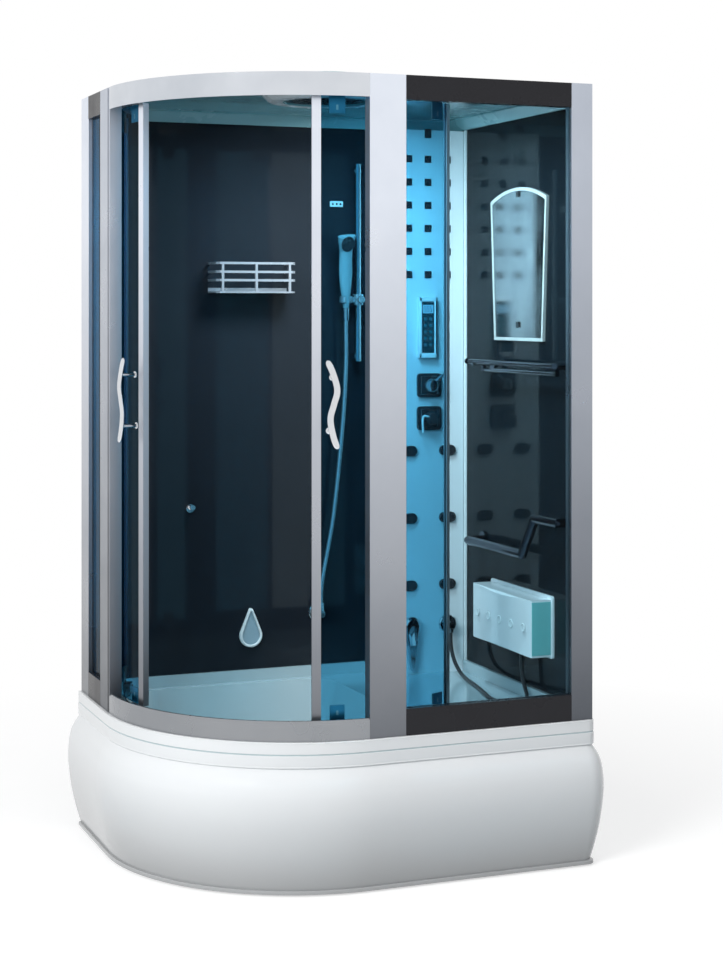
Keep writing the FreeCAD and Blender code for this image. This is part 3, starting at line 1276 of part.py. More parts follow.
slider_z = z_ledge + size["slider_height"]
grip_x, grip_y = size["rail_x"] - size["holder_reach"], rail_point.y - 15.0
sleeve = rod(vector(rail_point.x, rail_point.y, slider_z - 17.0), vector(0, 0, 1), size["rail_radius"] + 8.0, 34.0, 16)
arm = Part.makeBox(size["holder_reach"], 14.0, 16.0, vector(grip_x, rail_point.y - 18.0, slider_z - 8.0))
cradle = rod(vector(grip_x, grip_y, slider_z - 10.0), vector(0, 0, 1), 20.0, 20.0, 16)
knob = stack(vector(rail_point.x, rail_point.y - 14.0, slider_z), vector(0, -1, 0),
             [(0.0, 11.0), (18.0, 11.0), (20.0, 9.0)], 12)
slider = sleeve.fuse([arm, cradle, knob])
slider = slider.cut([rod(vector(rail_point.x, rail_point.y, slider_z - 30.0), vector(0, 0, 1),
                         size["rail_radius"] + 0.15, 60.0, 16),
                     stack(vector(grip_x, grip_y, slider_z - 11.0), vector(0, 0, 1), [(0.0, 12.3), (22.0, 14.5)], 16),
                     Part.makeBox(14.0, 30.0, 60.0, vector(grip_x - 7.0, grip_y - 34.0, slider_z - 30.0))])
feature("shower_slider", slider.removeSplitter())

grip_profile = [(-26.0, 9.5), (-11.0, 11.9), (9.6, 13.7), (150.0, 16.0)]
stick = stack(vector(grip_x, grip_y, slider_z), vector(0, 0, 1), grip_profile, 16)
head_at = vector(grip_x - 2.0, grip_y - 30.0, slider_z + size["handset_length"] - 52.0)
facing = vector(-0.25, -0.72, -0.65).normalize()
head = stack(head_at, facing, [(-26.0, 18.0), (6.0, 36.0), (13.0, 36.0)], 20)
handset = stick.fuse(head).removeSplitter()
feature("hand_shower", handset)

elbow_at = vector(size["elbow_x"], y_wall, z_ledge + size["elbow_height"])
rose = stack(elbow_at, vector(0, -1, 0), [(0.0, 26.0), (5.0, 26.0), (7.0, 24.0)], 20)
body_pipe = rod(elbow_at, vector(0, -1, 0), 11.0, 53.0)
riser = rod(elbow_at + vector(0, -42, 0), vector(0, 0, 1), 10.0, 34.0)
wall_elbow = rose.fuse([body_pipe, riser]).removeSplitter()

hose_top = vector(grip_x, grip_y, slider_z - 26.0)
hose_end = elbow_at + vector(0, -42, 34)
drop = hose_top.z - hose_end.z
mid_points = [hose_top + vector(0, 0, -drop * 0.075)]
drift = [(3.0, 0.16, 1.5), (-1.0, 0.25, -1.5), (-6.0, 0.345, -4.0), (-12.5, 0.44, -2.0),
         (-19.0, 0.535, 1.0), (-27.0, 0.63, 4.0), (-37.0, 0.72, 3.0), (-52.0, 0.805, 0.0), (-68.0, 0.885, -4.0)]
for shift, share, lean in drift:
    y_run = hose_top.y + (hose_end.y - hose_top.y) * share + lean
    mid_points.append(vector(hose_top.x + shift - 2.0 * share, y_run, hose_top.z - drop * share))
mid_points.append(hose_end + vector(0, 0, 42))
hose("shower_hose", [hose_top] + mid_points + [hose_end], size["hose_radius"])

# Basket shelf on the back wall: a plate, three rails round it and corner posts.
rail = size["rod_radius"]
shelf_y = y_wall - size["shelf_depth"]
shelf_left = size["shelf_x"] - size["shelf_length"] / 2
shelf_right = size["shelf_x"] + size["shelf_length"] / 2
shelf_z = z_ledge + size["shelf_low"]
tray = Part.makeBox(size["shelf_length"], size["shelf_depth"], 5.0, vector(shelf_left, shelf_y, shelf_z))
tray = tray.makeChamfer(10.0, [edge for edge in tray.Edges if along(2)(edge) and edge.BoundBox.YMax < y_wall - 1.0])
pieces = [tray]


def rounded_block(inset, level, corner):
    """Block from the shelf's front to past the wall, its two front corners rounded."""
    block = Part.makeBox(size["shelf_length"] - 2 * inset, size["shelf_depth"] - inset + (5.0 if inset else 0.0),
                         2 * rail, vector(shelf_left + inset, shelf_y + inset, level))
    return block.makeChamfer(corner, [edge for edge in block.Edges
                                     if along(2)(edge) and edge.BoundBox.YMax < y_wall - 1.0])


for share in (0.45, 0.72, 1.0):
    level = shelf_z + size["shelf_rise"] * share - 2 * rail
    pieces.append(rounded_block(0.0, level, 10.0).cut(rounded_block(2 * rail, level, 6.0)))
for x in (shelf_left + 16.0, size["shelf_x"] - rail, shelf_right - 16.0 - 2 * rail):
    pieces.append(Part.makeBox(2 * rail, 2 * rail, size["shelf_rise"] - 1.0, vector(x, shelf_y, shelf_z + 1.0)))
back_strip = Part.makeBox(size["shelf_length"], 4.0, 16.0, vector(shelf_left, y_wall - 4.0, shelf_z))
pieces.append(back_strip)
feature("back_shelf", pieces[0].fuse(pieces[1:]).removeSplitter())


# Mirror on the right wall: sides that spread upwards under a shallow arch, in a thin frame.
def mirror_wire(x, grow):
    low = z_ledge + size["bench_rail_height"] + size["mirror_gap"] - grow
    high = z_ledge + size["bench_rail_height"] + size["mirror_gap"] + size["mirror_side"] + grow
    base, top = size["mirror_base"] / 2 + grow, size["mirror_top"] / 2 + grow
    centre = size["mirror_centre"]
    corners = [vector(x, centre - base, low), vector(x, centre + base, low), vector(x, centre + top, high)]
    last = vector(x, centre - top, high)
    edges = [Part.LineSegment(start, end) for start, end in zip(corners, corners[1:])]
    edges.append(Part.Arc(corners[-1], vector(x, centre, high + size["mirror_arch"]), last))
    edges.append(Part.LineSegment(last, corners[0]))
    return Part.Wire([edge.toShape() for edge in edges])


def mirror_slab(x, grow, depth):
    return Part.Face(mirror_wire(x, grow)).extrude(vector(-depth, 0, 0))


feature("mirror_glass", mirror_slab(x_wall - 2.0, -0.2, size["mirror_thick"]))
surround = mirror_slab(x_wall, size["mirror_border"], size["mirror_thick"] + 4.0)
surround = surround.cut(mirror_slab(x_wall - 2.0, 0.0, 40.0))
feature("mirror_frame", surround)

# Chrome rail with a shelf bar on the right wall, over the seat.
bench_z = z_ledge + size["bench_rail_height"]
half = size["bench_rail_length"] / 2
centre = size["bench_rail_centre"]
bar_x = x_wall - 66.0
pieces = [rod(vector(bar_x, centre - half, bench_z + 10.0), vector(0, 1, 0), 7.0, size["bench_rail_length"]),
          rod(vector(x_wall - 34.0, centre - half + 45.0, bench_z - 14.0), vector(0, 1, 0), 5.0,
              size["bench_rail_length"] - 90.0, 8)]
for side in (-1, 1):
    y = centre + side * (half - 45.0)
    pieces.append(rod(vector(x_wall, y, bench_z), vector(-1, 0, 0), 16.0, 6.0, 16))
    pieces.append(Part.makeBox(72.0, 10.0, 12.0, vector(x_wall - 72.0, y - 5.0, bench_z - 2.0)))
    pieces.append(Part.makeBox(12.0, 10.0, 22.0, vector(x_wall - 40.0, y - 5.0, bench_z - 20.0)))
    pieces.append(rod(vector(bar_x, centre + side * half - 4.0, bench_z + 10.0), vector(0, 1, 0), 9.5, 8.0))
feature("side_shelf", pieces[0].fuse(pieces[1:]).removeSplitter())

# Grab bar by the seat: a level run that turns up at its front end, on wall flanges.
grab_z = z_ledge + size["grab_height"]
grab_x = x_wall - size["grab_stand"]
rear, fore = size["grab_start"] - 22.0, size["grab_start"] - size["grab_length"]
rise = size["grab_rise"]
route = [vector(x_wall - 1.0, rear, grab_z), vector(grab_x, rear, grab_z), vector(grab_x, fore, grab_z),
         vector(grab_x, fore - 83.0, grab_z + rise), vector(grab_x, fore - 217.0, grab_z + rise),
         vector(x_wall - 1.0, fore - 217.0, grab_z + rise)]
angles = [math.pi * (2 * step + 1) / 12 for step in range(13)]
ring = Part.makePolygon([route[0] + vector(0, math.cos(angle), math.sin(angle)) * size["grab_radius"]
                         for angle in angles])
mitred = 1
grab = Part.makePolygon(route).makePipeShell([ring], True, False, mitred)
flanges = [rod(vector(x_wall, spot.y, spot.z), vector(-1, 0, 0), size["grab_radius"] * 1.9, 7.0, 16)
           for spot in (route[0], route[-1])]
feature("grab_bar", grab.fuse(flanges).removeSplitter())

# Robe hook on the back wall.
hook_z = z_ledge + size["hook_height"]
hook_rose = rod(vector(size["hook_x"], y_wall, hook_z), vector(0, -1, 0), 13.0, 5.0, 16)
peg = rod(vector(size["hook_x"], y_wall - 1.0, hook_z), vector(0, -1, 0.15), 5.0, 28.0, 8)
ball = rod(vector(size["hook_x"], y_wall - 26.0, hook_z + 3.8), vector(0, -1, 0.15), 8.0, 6.0)
wall_peg = hook_rose.fuse([peg, ball]).removeSplitter()

# Hot and cold inlet tails behind the column, through the back wall panel. They share a node with the elbow,
# the hook, the filler, the hose's outlet and the waste flange.
tails = []
for side in (-1, 1):
    x = x_mid + side * size["supply_spread"] / 2
    z = z_ledge + size["supply_height"]
    tail = Part.makeCylinder(size["supply_radius"], y_back - y_wall + 14.0, vector(x, y_wall - 14.0, z),
                             vector(0, 1, 0))
    collar = rod(vector(x, y_wall - 1.0, z), vector(0, 1, 0), size["supply_radius"] + size["shoulder"],
                 size["wall_face"] + 1.0, 16)
    nut = Part.Face(Part.makePolygon([vector(x + (size["supply_radius"] + 6.0) * math.cos(step * math.pi / 3),
                                             y_wall - 0.3, z + (size["supply_radius"] + 6.0)
                                             * math.sin(step * math.pi / 3)) for step in range(7)]))
    nut = nut.extrude(vector(0, -12, 0))
    way = rod(vector(x, y_wall - 8.0, z), vector(0, 1, 0), size["supply_radius"] - 3.0, 80.0)
    tails.append(tail.fuse([nut, collar]).cut(way).removeSplitter())
feature("chrome_fittings", Part.makeCompound([wall_elbow, wall_peg, filler, outlet, waste_flange] + tails))

# Steam generator on the base frame under the seat: a rounded tank with ports and a terminal cover.
tank_x = number("%s - 480" % wall_x) + 60.0
tank_y = number(frame_ys[0]) + 130.0
tank_z = number(frame_z) + size["tube_size"]
saddle = [Part.makeBox(20.0, number(frame_ys[1]) - number(frame_ys[0]), 4.0,
                       vector(tank_x + shift, number(frame_ys[0]) + size["tube_size"] / 2, tank_z))
          for shift in (30.0, size["generator_length"] - 50.0)]
tank = Part.makeBox(size["generator_length"], size["generator_width"], size["generator_height"],
                    vector(tank_x, tank_y, tank_z + 4.0))
tank = tank.makeFillet(30.0, [edge for edge in tank.Edges if along(0)(edge)])
cover = Part.makeBox(90.0, 26.0, 120.0, vector(tank_x + 20.0, tank_y + size["generator_width"] - 4.0, tank_z + 30.0))
cover = cover.makeChamfer(5.0, [edge for edge in cover.Edges if edge.BoundBox.YMin > tank_y + 190.0])
port = rod(vector(tank_x + 170.0, tank_y + size["generator_width"] - 4.0, tank_z + 140.0), vector(0, 1, 0), 11.0,
           40.0)
saddle_pads = [item.fuse(Part.makeBox(20.0, size["generator_width"] - 40.0, 22.0,
                                      vector(item.BoundBox.XMin, tank_y + 20.0, tank_z))) for item in saddle]
feature("steam_generator", tank.fuse([cover, port] + saddle_pads).removeSplitter())

doc.recompute()
for item in doc.Objects:
    if "Invalid" in item.State or "Error" in item.State:
        raise RuntimeError("failed object " + item.Name + " " + item.Label)
os.makedirs("parts", exist_ok=True)
labels = set()
for item in parts:
    shape = item.Shape
    if shape.isNull() or not shape.isValid():
        raise RuntimeError("bad shape in " + item.Label)
    if item.Label in labels:
        raise RuntimeError("label used twice: " + item.Label)
    labels.add(item.Label)
for item in parts:
    item.Shape.exportStep("parts/%s.step" % item.Label)
print(len(parts), "pieces written")
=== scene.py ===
import json
import math

import bmesh
import bpy
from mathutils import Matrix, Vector


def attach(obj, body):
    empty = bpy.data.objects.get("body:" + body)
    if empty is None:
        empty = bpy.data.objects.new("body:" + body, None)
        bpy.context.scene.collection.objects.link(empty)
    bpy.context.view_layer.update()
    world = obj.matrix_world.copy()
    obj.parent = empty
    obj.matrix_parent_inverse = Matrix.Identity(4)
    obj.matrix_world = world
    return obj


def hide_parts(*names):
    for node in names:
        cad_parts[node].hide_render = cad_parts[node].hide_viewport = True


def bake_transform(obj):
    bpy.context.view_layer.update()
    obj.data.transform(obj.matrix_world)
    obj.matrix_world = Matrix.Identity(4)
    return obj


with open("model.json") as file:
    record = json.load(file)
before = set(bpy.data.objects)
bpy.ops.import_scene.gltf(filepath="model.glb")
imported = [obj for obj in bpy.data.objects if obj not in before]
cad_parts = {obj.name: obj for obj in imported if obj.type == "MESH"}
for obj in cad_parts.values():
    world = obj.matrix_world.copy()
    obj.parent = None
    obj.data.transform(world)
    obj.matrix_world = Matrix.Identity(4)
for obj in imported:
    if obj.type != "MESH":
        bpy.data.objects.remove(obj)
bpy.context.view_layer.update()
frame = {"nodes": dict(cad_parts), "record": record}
nodes = frame["nodes"]
slotOf = {row["node"]: row["material_slot"] for row in frame["record"]["subparts"]}

# level camera in front of the cabin and to its left, at a standing person's eye height
cameraSetup = {"place": (-1.8922, -5.0362, 1.5298), "turn": -21.54, "lens": 70.86, "shiftUp": -0.178}
lensData = bpy.data.cameras.new("viewCamera")
lensData.lens = cameraSetup["lens"]
lensData.shift_y = cameraSetup["shiftUp"]
camera = bpy.data.objects.new("viewCamera", lensData)
camera.location = cameraSetup["place"]
camera.rotation_euler = (math.radians(90), 0, math.radians(cameraSetup["turn"]))
bpy.context.scene.collection.objects.link(camera)
bpy.context.scene.camera = camera
bpy.context.scene.view_settings.view_transform = "Standard"
print("camera set")


# shader groups shared by the finishes
def shaderGroup(name, inputs, outputs):
    group = bpy.data.node_groups.new(name, "ShaderNodeTree")
    for label, kind, value in inputs:
        socket = group.interface.new_socket(label, in_out="INPUT", socket_type="NodeSocket" + kind)
        socket.default_value = value
    for label, kind in outputs:
        group.interface.new_socket(label, in_out="OUTPUT", socket_type="NodeSocket" + kind)
    return group, group.nodes.new("NodeGroupInput"), group.nodes.new("NodeGroupOutput")


def addNode(tree, kind, **settings):
    node = tree.nodes.new("ShaderNode" + kind)
    for key, value in settings.items():
        setattr(node, key, value)
    return node


def smudgeAndShadeGroup():
    # soft cloudy patches: cleaner and duller areas of a wiped surface, and painted shade: the colour darkens
    # from the Head height down to the Foot height
    group, enter, leave = shaderGroup(
        "wipedPatchesAndShade", [("Scale", "Float", 5.0), ("Low", "Float", 0.1), ("High", "Float", 0.3),
                         ("Tone", "Color", (1, 1, 1, 1)), ("Shade", "Color", (0.9, 0.9, 0.9, 1)),
                         ("Foot", "Float", 0.0), ("Head", "Float", 2.2), ("FootShade", "Float", 1.0)],
        [("Roughness", "Float"), ("Color", "Color")])
    links = group.links
    coords = addNode(group, "TexCoord")
    cloud = addNode(group, "TexNoise")
    cloud.inputs["Detail"].default_value = 5.0
    cloud.inputs["Roughness"].default_value = 0.62
    spread = addNode(group, "MapRange")
    spread.inputs["From Min"].default_value = 0.3
    spread.inputs["From Max"].default_value = 0.7
    blend = addNode(group, "Mix", data_type="RGBA")
    links.new(coords.outputs["Object"], cloud.inputs["Vector"])
    links.new(enter.outputs["Scale"], cloud.inputs["Scale"])
    links.new(cloud.outputs["Fac"], spread.inputs["Value"])
    links.new(enter.outputs["Low"], spread.inputs["To Min"])
    links.new(enter.outputs["High"], spread.inputs["To Max"])
    links.new(spread.outputs["Result"], leave.inputs["Roughness"])
    links.new(cloud.outputs["Fac"], blend.inputs["Factor"])
    links.new(enter.outputs["Tone"], blend.inputs[6])
    links.new(enter.outputs["Shade"], blend.inputs[7])
    level = addNode(group, "SeparateXYZ")
    heightShade = addNode(group, "MapRange")   # painted shade: the colour is darker towards the floor
    shadeDown = addNode(group, "VectorMath", operation="SCALE")
    links.new(coords.outputs["Object"], level.inputs["Vector"])
    links.new(level.outputs["Z"], heightShade.inputs["Value"])
    links.new(enter.outputs["Foot"], heightShade.inputs["From Min"])
    links.new(enter.outputs["Head"], heightShade.inputs["From Max"])
    links.new(enter.outputs["FootShade"], heightShade.inputs["To Min"])
    links.new(blend.outputs[2], shadeDown.inputs[0])
    links.new(heightShade.outputs["Result"], shadeDown.inputs["Scale"])
    links.new(shadeDown.outputs["Vector"], leave.inputs["Color"])
    return group


def grainGroup():
    # fine height: drawn lines where the stretch is uneven, moulding texture where it is even
    group, enter, leave = shaderGroup(
        "surfaceGrain", [("Stretch", "Vector", (1, 1, 1)), ("Scale", "Float", 300.0)], [("Height", "Float")])
    links = group.links
    coords = addNode(group, "TexCoord")
    shape = addNode(group, "VectorMath", operation="MULTIPLY")
    grain = addNode(group, "TexNoise")
    grain.inputs["Detail"].default_value = 3.0
    links.new(coords.outputs["Object"], shape.inputs[0])
    links.new(enter.outputs["Stretch"], shape.inputs[1])
    links.new(shape.outputs["Vector"], grain.inputs["Vector"])
    links.new(enter.outputs["Scale"], grain.inputs["Scale"])
    links.new(grain.outputs["Fac"], leave.inputs["Height"])
    return group


wipedPatchesAndShade = smudgeAndShadeGroup()
surfaceGrain = grainGroup()

even, upright, lying = (1, 1, 1), (1, 1, 0.02), (0.03, 0.03, 1)
# where a finish has a height entry (foot, head, foot tone), its colour darkens from head down to foot as
# painted shade
finishes = {
    "white_acrylic": dict(tone=(0.82, 0.84, 0.85), shade=(0.77, 0.79, 0.81), rough=(0.12, 0.22), patch=3.0,
                          grain=140, stretch=even, height=0.0002, coat=0.4),
    # painted shade: the apron's colour darkens strongly towards its foot
    "apronAcrylic": dict(tone=(0.84, 0.86, 0.87), shade=(0.78, 0.80, 0.82), rough=(0.12, 0.22), patch=2.4,
                         grain=140, stretch=even, height=0.0002, coat=0.4, heightShade=(0.02, 0.27, 0.52)),
    # painted shade and painted tinted light: the white roof is given a darker teal for the shade and
    # blue-glass light inside the cabin
    "roofAcrylic": dict(tone=(0.27, 0.50, 0.53), shade=(0.22, 0.43, 0.46), rough=(0.16, 0.3), patch=4.0,
                        grain=140, stretch=even, height=0.0004, coat=0.3),
    # painted shade and painted tinted light: the white tub is given a darker grey-teal for the shade and
    # blue-glass light inside the cabin
    "tubAcrylic": dict(tone=(0.444, 0.535, 0.564), shade=(0.408, 0.508, 0.544), rough=(0.12, 0.22), patch=4.0,
                       grain=140, stretch=even, height=0.0004, coat=0.4),
    "columnAcrylic": dict(tone=(0.82, 0.86, 0.88), shade=(0.77, 0.82, 0.85), rough=(0.14, 0.26), patch=5.0,
                          grain=160, stretch=even, height=0.0003, coat=0.4),
    # painted reflection: the faint lighter teal clouds of the shade colour stand for reflections in the black
    # glass
    "black_wall": dict(tone=(0.005, 0.008, 0.011), shade=(0.009, 0.015, 0.020), rough=(0.03, 0.08), patch=2.2,
                       grain=30, stretch=even, height=0.00002, level=0.08),
    "satin_silver": dict(tone=(0.86, 0.90, 0.98), shade=(0.70, 0.75, 0.84), rough=(0.24, 0.4), patch=3.0,
                         grain=900, stretch=upright, height=0.0002, metal=0.9, heightShade=(0.38, 1.82, 0.2)),
    # painted shade: a darker copy of satin_silver for the right front post and the left jamb
    "satinGrey": dict(tone=(0.56, 0.60, 0.68), shade=(0.46, 0.50, 0.57), rough=(0.26, 0.42), patch=3.0,
                      grain=900, stretch=upright, height=0.0002, metal=0.9, heightShade=(0.38, 1.9, 0.2)),
    # painted reflections: the large dark grey patches along the rails (shade far darker than tone) stand for
    # reflections on the satin metal
    "satinRail": dict(tone=(0.92, 0.94, 0.97), shade=(0.40, 0.44, 0.50), rough=(0.22, 0.38), patch=1.5,
                      grain=900, stretch=lying, height=0.0002, metal=0.9, heightShade=(0.38, 1.95, 0.42)),
    "black_band": dict(tone=(0.014, 0.014, 0.017), shade=(0.022, 0.022, 0.026), rough=(0.2, 0.36), patch=6.0,
                       grain=400, stretch=even, height=0.00005, level=0.2),
    "chrome": dict(tone=(0.78, 0.80, 0.82), shade=(0.62, 0.64, 0.67), rough=(0.06, 0.16), patch=14.0,
                   grain=500, stretch=even, height=0.0001, metal=1.0),
    "smokedChrome": dict(tone=(0.09, 0.10, 0.13), shade=(0.05, 0.06, 0.08), rough=(0.10, 0.22), patch=14.0,
                         grain=500, stretch=even, height=0.0001, metal=1.0),
    # painted reflection: the faint lighter clouds of the shade colour stand for reflections in the black back
    # wall
    "glossWall": dict(tone=(0.010, 0.013, 0.018), shade=(0.016, 0.019, 0.025), rough=(0.02, 0.07), patch=4.0,
                      grain=500, stretch=even, height=0.00002, level=0.2),
    # painted shade: the shelf wire is given a darker grey for the shade on it
    "shelfWire": dict(tone=(0.46, 0.45, 0.48), shade=(0.40, 0.39, 0.42), rough=(0.16, 0.3), patch=20.0,
                      grain=500, stretch=even, height=0.0001, metal=0.45),
    "mirrorFrame": dict(tone=(0.66, 0.64, 0.61), shade=(0.56, 0.54, 0.52), rough=(0.2, 0.34), patch=9.0,
                        grain=500, stretch=even, height=0.0001, coat=0.2),
    "paleTeal": dict(tone=(0.16, 0.50, 0.50), shade=(0.24, 0.60, 0.60), rough=(0.14, 0.26), patch=9.0,
                     grain=300, stretch=even, height=0.0001, coat=0.5),
    "plated_plastic": dict(tone=(0.62, 0.68, 0.72), shade=(0.48, 0.55, 0.60), rough=(0.14, 0.26), patch=12.0,
                           grain=420, stretch=even, height=0.0001, metal=0.8),
    "handsetGrey": dict(tone=(0.20, 0.30, 0.33), shade=(0.14, 0.22, 0.25), rough=(0.14, 0.26), patch=12.0,
                        grain=420, stretch=even, height=0.0001, coat=0.5),
    "dark_plastic": dict(tone=(0.016, 0.020, 0.026), shade=(0.030, 0.036, 0.042), rough=(0.18, 0.36),
                         patch=16.0, grain=900, stretch=even, height=0.0002),
    "white_plastic": dict(tone=(0.80, 0.82, 0.82), shade=(0.72, 0.75, 0.76), rough=(0.2, 0.34), patch=9.0,
                          grain=800, stretch=even, height=0.0002, coat=0.2),
    # painted highlight: a brighter white than white_plastic for the lit bars of the panel's raised rim
    "rimPaintedHighlight": dict(tone=(0.93, 0.94, 0.95), shade=(0.88, 0.90, 0.92), rough=(0.15, 0.25), patch=12.0,
                      grain=500, stretch=even, height=0.00005, coat=0.4),
    "litDisplay": dict(tone=(0.42, 0.62, 0.72), shade=(0.34, 0.54, 0.66), rough=(0.1, 0.2), patch=30.0,
                       grain=400, stretch=even, height=0.00005, coat=0.5),
    "buttonTeal": dict(tone=(0.03, 0.16, 0.20), shade=(0.02, 0.12, 0.15), rough=(0.2, 0.3), patch=30.0,
                       grain=400, stretch=even, height=0.00005),
    "recessGrey": dict(tone=(0.32, 0.42, 0.48), shade=(0.24, 0.33, 0.39), rough=(0.3, 0.45), patch=18.0,
                       grain=600, stretch=even, height=0.0001),
    "screen": dict(tone=(0.008, 0.035, 0.045), shade=(0.014, 0.06, 0.075), rough=(0.06, 0.14), patch=9.0,
                   grain=400, stretch=even, height=0.0001, coat=0.5),
    "mirror": dict(tone=(0.36, 0.39, 0.41), shade=(0.20, 0.23, 0.25), rough=(0.05, 0.2), patch=5.0,
                   grain=60, stretch=upright, height=0.0004, metal=1.0),
    "hose_rubber": dict(tone=(0.014, 0.015, 0.017), shade=(0.03, 0.03, 0.034), rough=(0.3, 0.5), patch=20.0,
                        grain=900, stretch=even, height=0.0002),
    "painted_frame": dict(tone=(0.30, 0.31, 0.32), shade=(0.20, 0.21, 0.22), rough=(0.35, 0.6), patch=12.0,
                          grain=500, stretch=even, height=0.0003),
    "steel": dict(tone=(0.56, 0.57, 0.58), shade=(0.40, 0.41, 0.42), rough=(0.28, 0.5), patch=14.0,
                  grain=700, stretch=lying, height=0.0002, metal=1.0),
}


def shopFinish(name, spec):
    material = bpy.data.materials.new(name)
    material.use_nodes = True
    tree = material.node_tree
    shader = tree.nodes["Principled BSDF"]
    patches = addNode(tree, "Group")
    patches.node_tree = wipedPatchesAndShade
    patches.inputs["Scale"].default_value = spec["patch"]
    patches.inputs["Low"].default_value, patches.inputs["High"].default_value = spec["rough"]
    patches.inputs["Tone"].default_value = spec["tone"] + (1,)
    patches.inputs["Shade"].default_value = spec["shade"] + (1,)
    # painted shade: the colour darkens towards the floor where the finish gives a foot tone
    foot, head, footShade = spec.get("heightShade", (0.0, 2.2, 1.0))
    patches.inputs["Foot"].default_value = foot
    patches.inputs["Head"].default_value = head
    patches.inputs["FootShade"].default_value = footShade
    grain = addNode(tree, "Group")
    grain.node_tree = surfaceGrain
    grain.inputs["Stretch"].default_value = spec["stretch"]
    grain.inputs["Scale"].default_value = spec["grain"]
    bump = addNode(tree, "Bump")
    bump.inputs["Strength"].default_value = 0.35
    bump.inputs["Distance"].default_value = spec["height"]
    tree.links.new(patches.outputs["Roughness"], shader.inputs["Roughness"])
    tree.links.new(patches.outputs["Color"], shader.inputs["Base Color"])
    tree.links.new(grain.outputs["Height"], bump.inputs["Height"])
    tree.links.new(bump.outputs["Normal"], shader.inputs["Normal"])
    shader.inputs["Metallic"].default_value = spec.get("metal", 0.0)
    shader.inputs["Coat Weight"].default_value = spec.get("coat", 0.0)
    shader.inputs["Specular IOR Level"].default_value = spec.get("level", 0.5)
    return material


paneTints = {"doorPane": {"tone": (0.17, 0.52, 0.72), "lampTone": (0.62, 0.84, 0.92), "bend": 1.06},
             "sidePane": {"tone": (0.07, 0.30, 0.44), "lampTone": (0.62, 0.84, 0.92), "bend": 1.06},
             "frontPane": {"tone": (0.66, 0.86, 0.94), "lampTone": (0.86, 0.94, 0.97), "bend": 1.10}}


def tintedPane(name):
    # the pane bends and tints what is behind it, and lets lamps through in its own tint
    glassTint = paneTints[name]
    material = bpy.data.materials.new(name)
    material.use_nodes = True
    tree = material.node_tree
    pane = tree.nodes["Principled BSDF"]
    pane.inputs["Transmission Weight"].default_value = 1.0
    pane.inputs["IOR"].default_value = glassTint["bend"]
    patches = addNode(tree, "Group")
    patches.node_tree = wipedPatchesAndShade
    patches.inputs["Scale"].default_value = 2.5
    patches.inputs["Low"].default_value, patches.inputs["High"].default_value = 0.0, 0.015
    patches.inputs["Tone"].default_value = glassTint["tone"] + (1,)
    patches.inputs["Shade"].default_value = tuple(0.93 * part for part in glassTint["tone"]) + (1,)
    tree.links.new(patches.outputs["Color"], pane.inputs["Base Color"])
    tree.links.new(patches.outputs["Roughness"], pane.inputs["Roughness"])
    clear = addNode(tree, "BsdfTransparent")
    clear.inputs["Color"].default_value = glassTint["lampTone"] + (1,)
    ray = addNode(tree, "LightPath")
    mixed = addNode(tree, "MixShader")
    tree.links.new(ray.outputs["Is Shadow Ray"], mixed.inputs["Fac"])
    tree.links.new(pane.outputs["BSDF"], mixed.inputs[1])
    tree.links.new(clear.outputs["BSDF"], mixed.inputs[2])
    tree.links.new(mixed.outputs["Shader"], tree.nodes["Material Output"].inputs["Surface"])
    return material


material = {name: shopFinish(name, spec) for name, spec in finishes.items()}
for slotName, pane in (("tinted_glass", "doorPane"), ("frontPane", "frontPane"), ("sidePane", "sidePane")):
    material[slotName] = tintedPane(pane)

ownFinish = {"roof_canopy": "roofAcrylic", "tub_shell": "tubAcrylic", "column": "columnAcrylic",
             "front_apron": "apronAcrylic", "front_glass": "frontPane", "left_glass": "sidePane",
             "right_front_post": "satinGrey", "grab_bar": "smokedChrome", "side_shelf": "smokedChrome",
             "left_jamb": "satinGrey", "back_wall_panel": "glossWall",
             "back_shelf": "shelfWire", "mirror_frame": "mirrorFrame",
             "top_curved_rail": "satinRail", "bottom_curved_rail": "satinRail"}
for name, node in nodes.items():
    finish = material[ownFinish.get(name, slotOf[name])]
    node.data.materials.clear()
    node.data.materials.append(finish)
print("finishes made:", len(material))


# mesh helpers, all in millimetres until the piece is finished
def smoothPath(corners, perSpan=8):
    knots = [Vector(corner) for corner in corners]
    path = []
    for i in range(len(knots) - 1):
        before, a, b = knots[max(i - 1, 0)], knots[i], knots[i + 1]
        after = knots[min(i + 2, len(knots) - 1)]
        for step in range(perSpan):
            t = step / perSpan
            path.append(0.5 * (2 * a + (b - before) * t + (2 * before - 5 * a + 4 * b - after) * t * t
                               + (3 * a - before - 3 * b + after) * t ** 3))
    return path + [knots[-1]]


def circle(sides):
    return [2 * math.pi * k / sides for k in range(sides)]


def skin(mesh, rings, closed=True):
    for low, high in zip(rings, rings[1:]):
        for i in range(len(low)):
            j = (i + 1) % len(low)
            mesh.faces.new((low[i], low[j], high[j], high[i]))
    if closed:
        mesh.faces.new(rings[0][::-1])
        mesh.faces.new(rings[-1])


def sweep(mesh, path, sizes, side=None, sides=20):
    rings = []
    out = Vector(side) if side else (path[1] - path[0]).orthogonal()
    for i, spot in enumerate(path):
        along = (path[min(i + 1, len(path) - 1)] - path[max(i - 1, 0)]).normalized()
        guide = Vector(side) if side else out
        out = (guide - along * guide.dot(along)).normalized()
        up = along.cross(out)
        wide, thick = sizes[i] if isinstance(sizes, list) else sizes
        rings.append([mesh.verts.new(spot + out * (wide * math.cos(turn)) + up * (thick * math.sin(turn)))
                      for turn in circle(sides)])
    skin(mesh, rings)


def turned(mesh, spot, axis, rows, sides=40):
    axis = Vector(axis).normalized()
    out = axis.orthogonal().normalized()
    up = axis.cross(out)
    rings = []
    for level, radius in rows:
        middle = Vector(spot) + axis * level
        rings.append([mesh.verts.new(middle + (out * math.cos(turn) + up * math.sin(turn)) * radius)
                      for turn in circle(sides)])
    skin(mesh, rings)


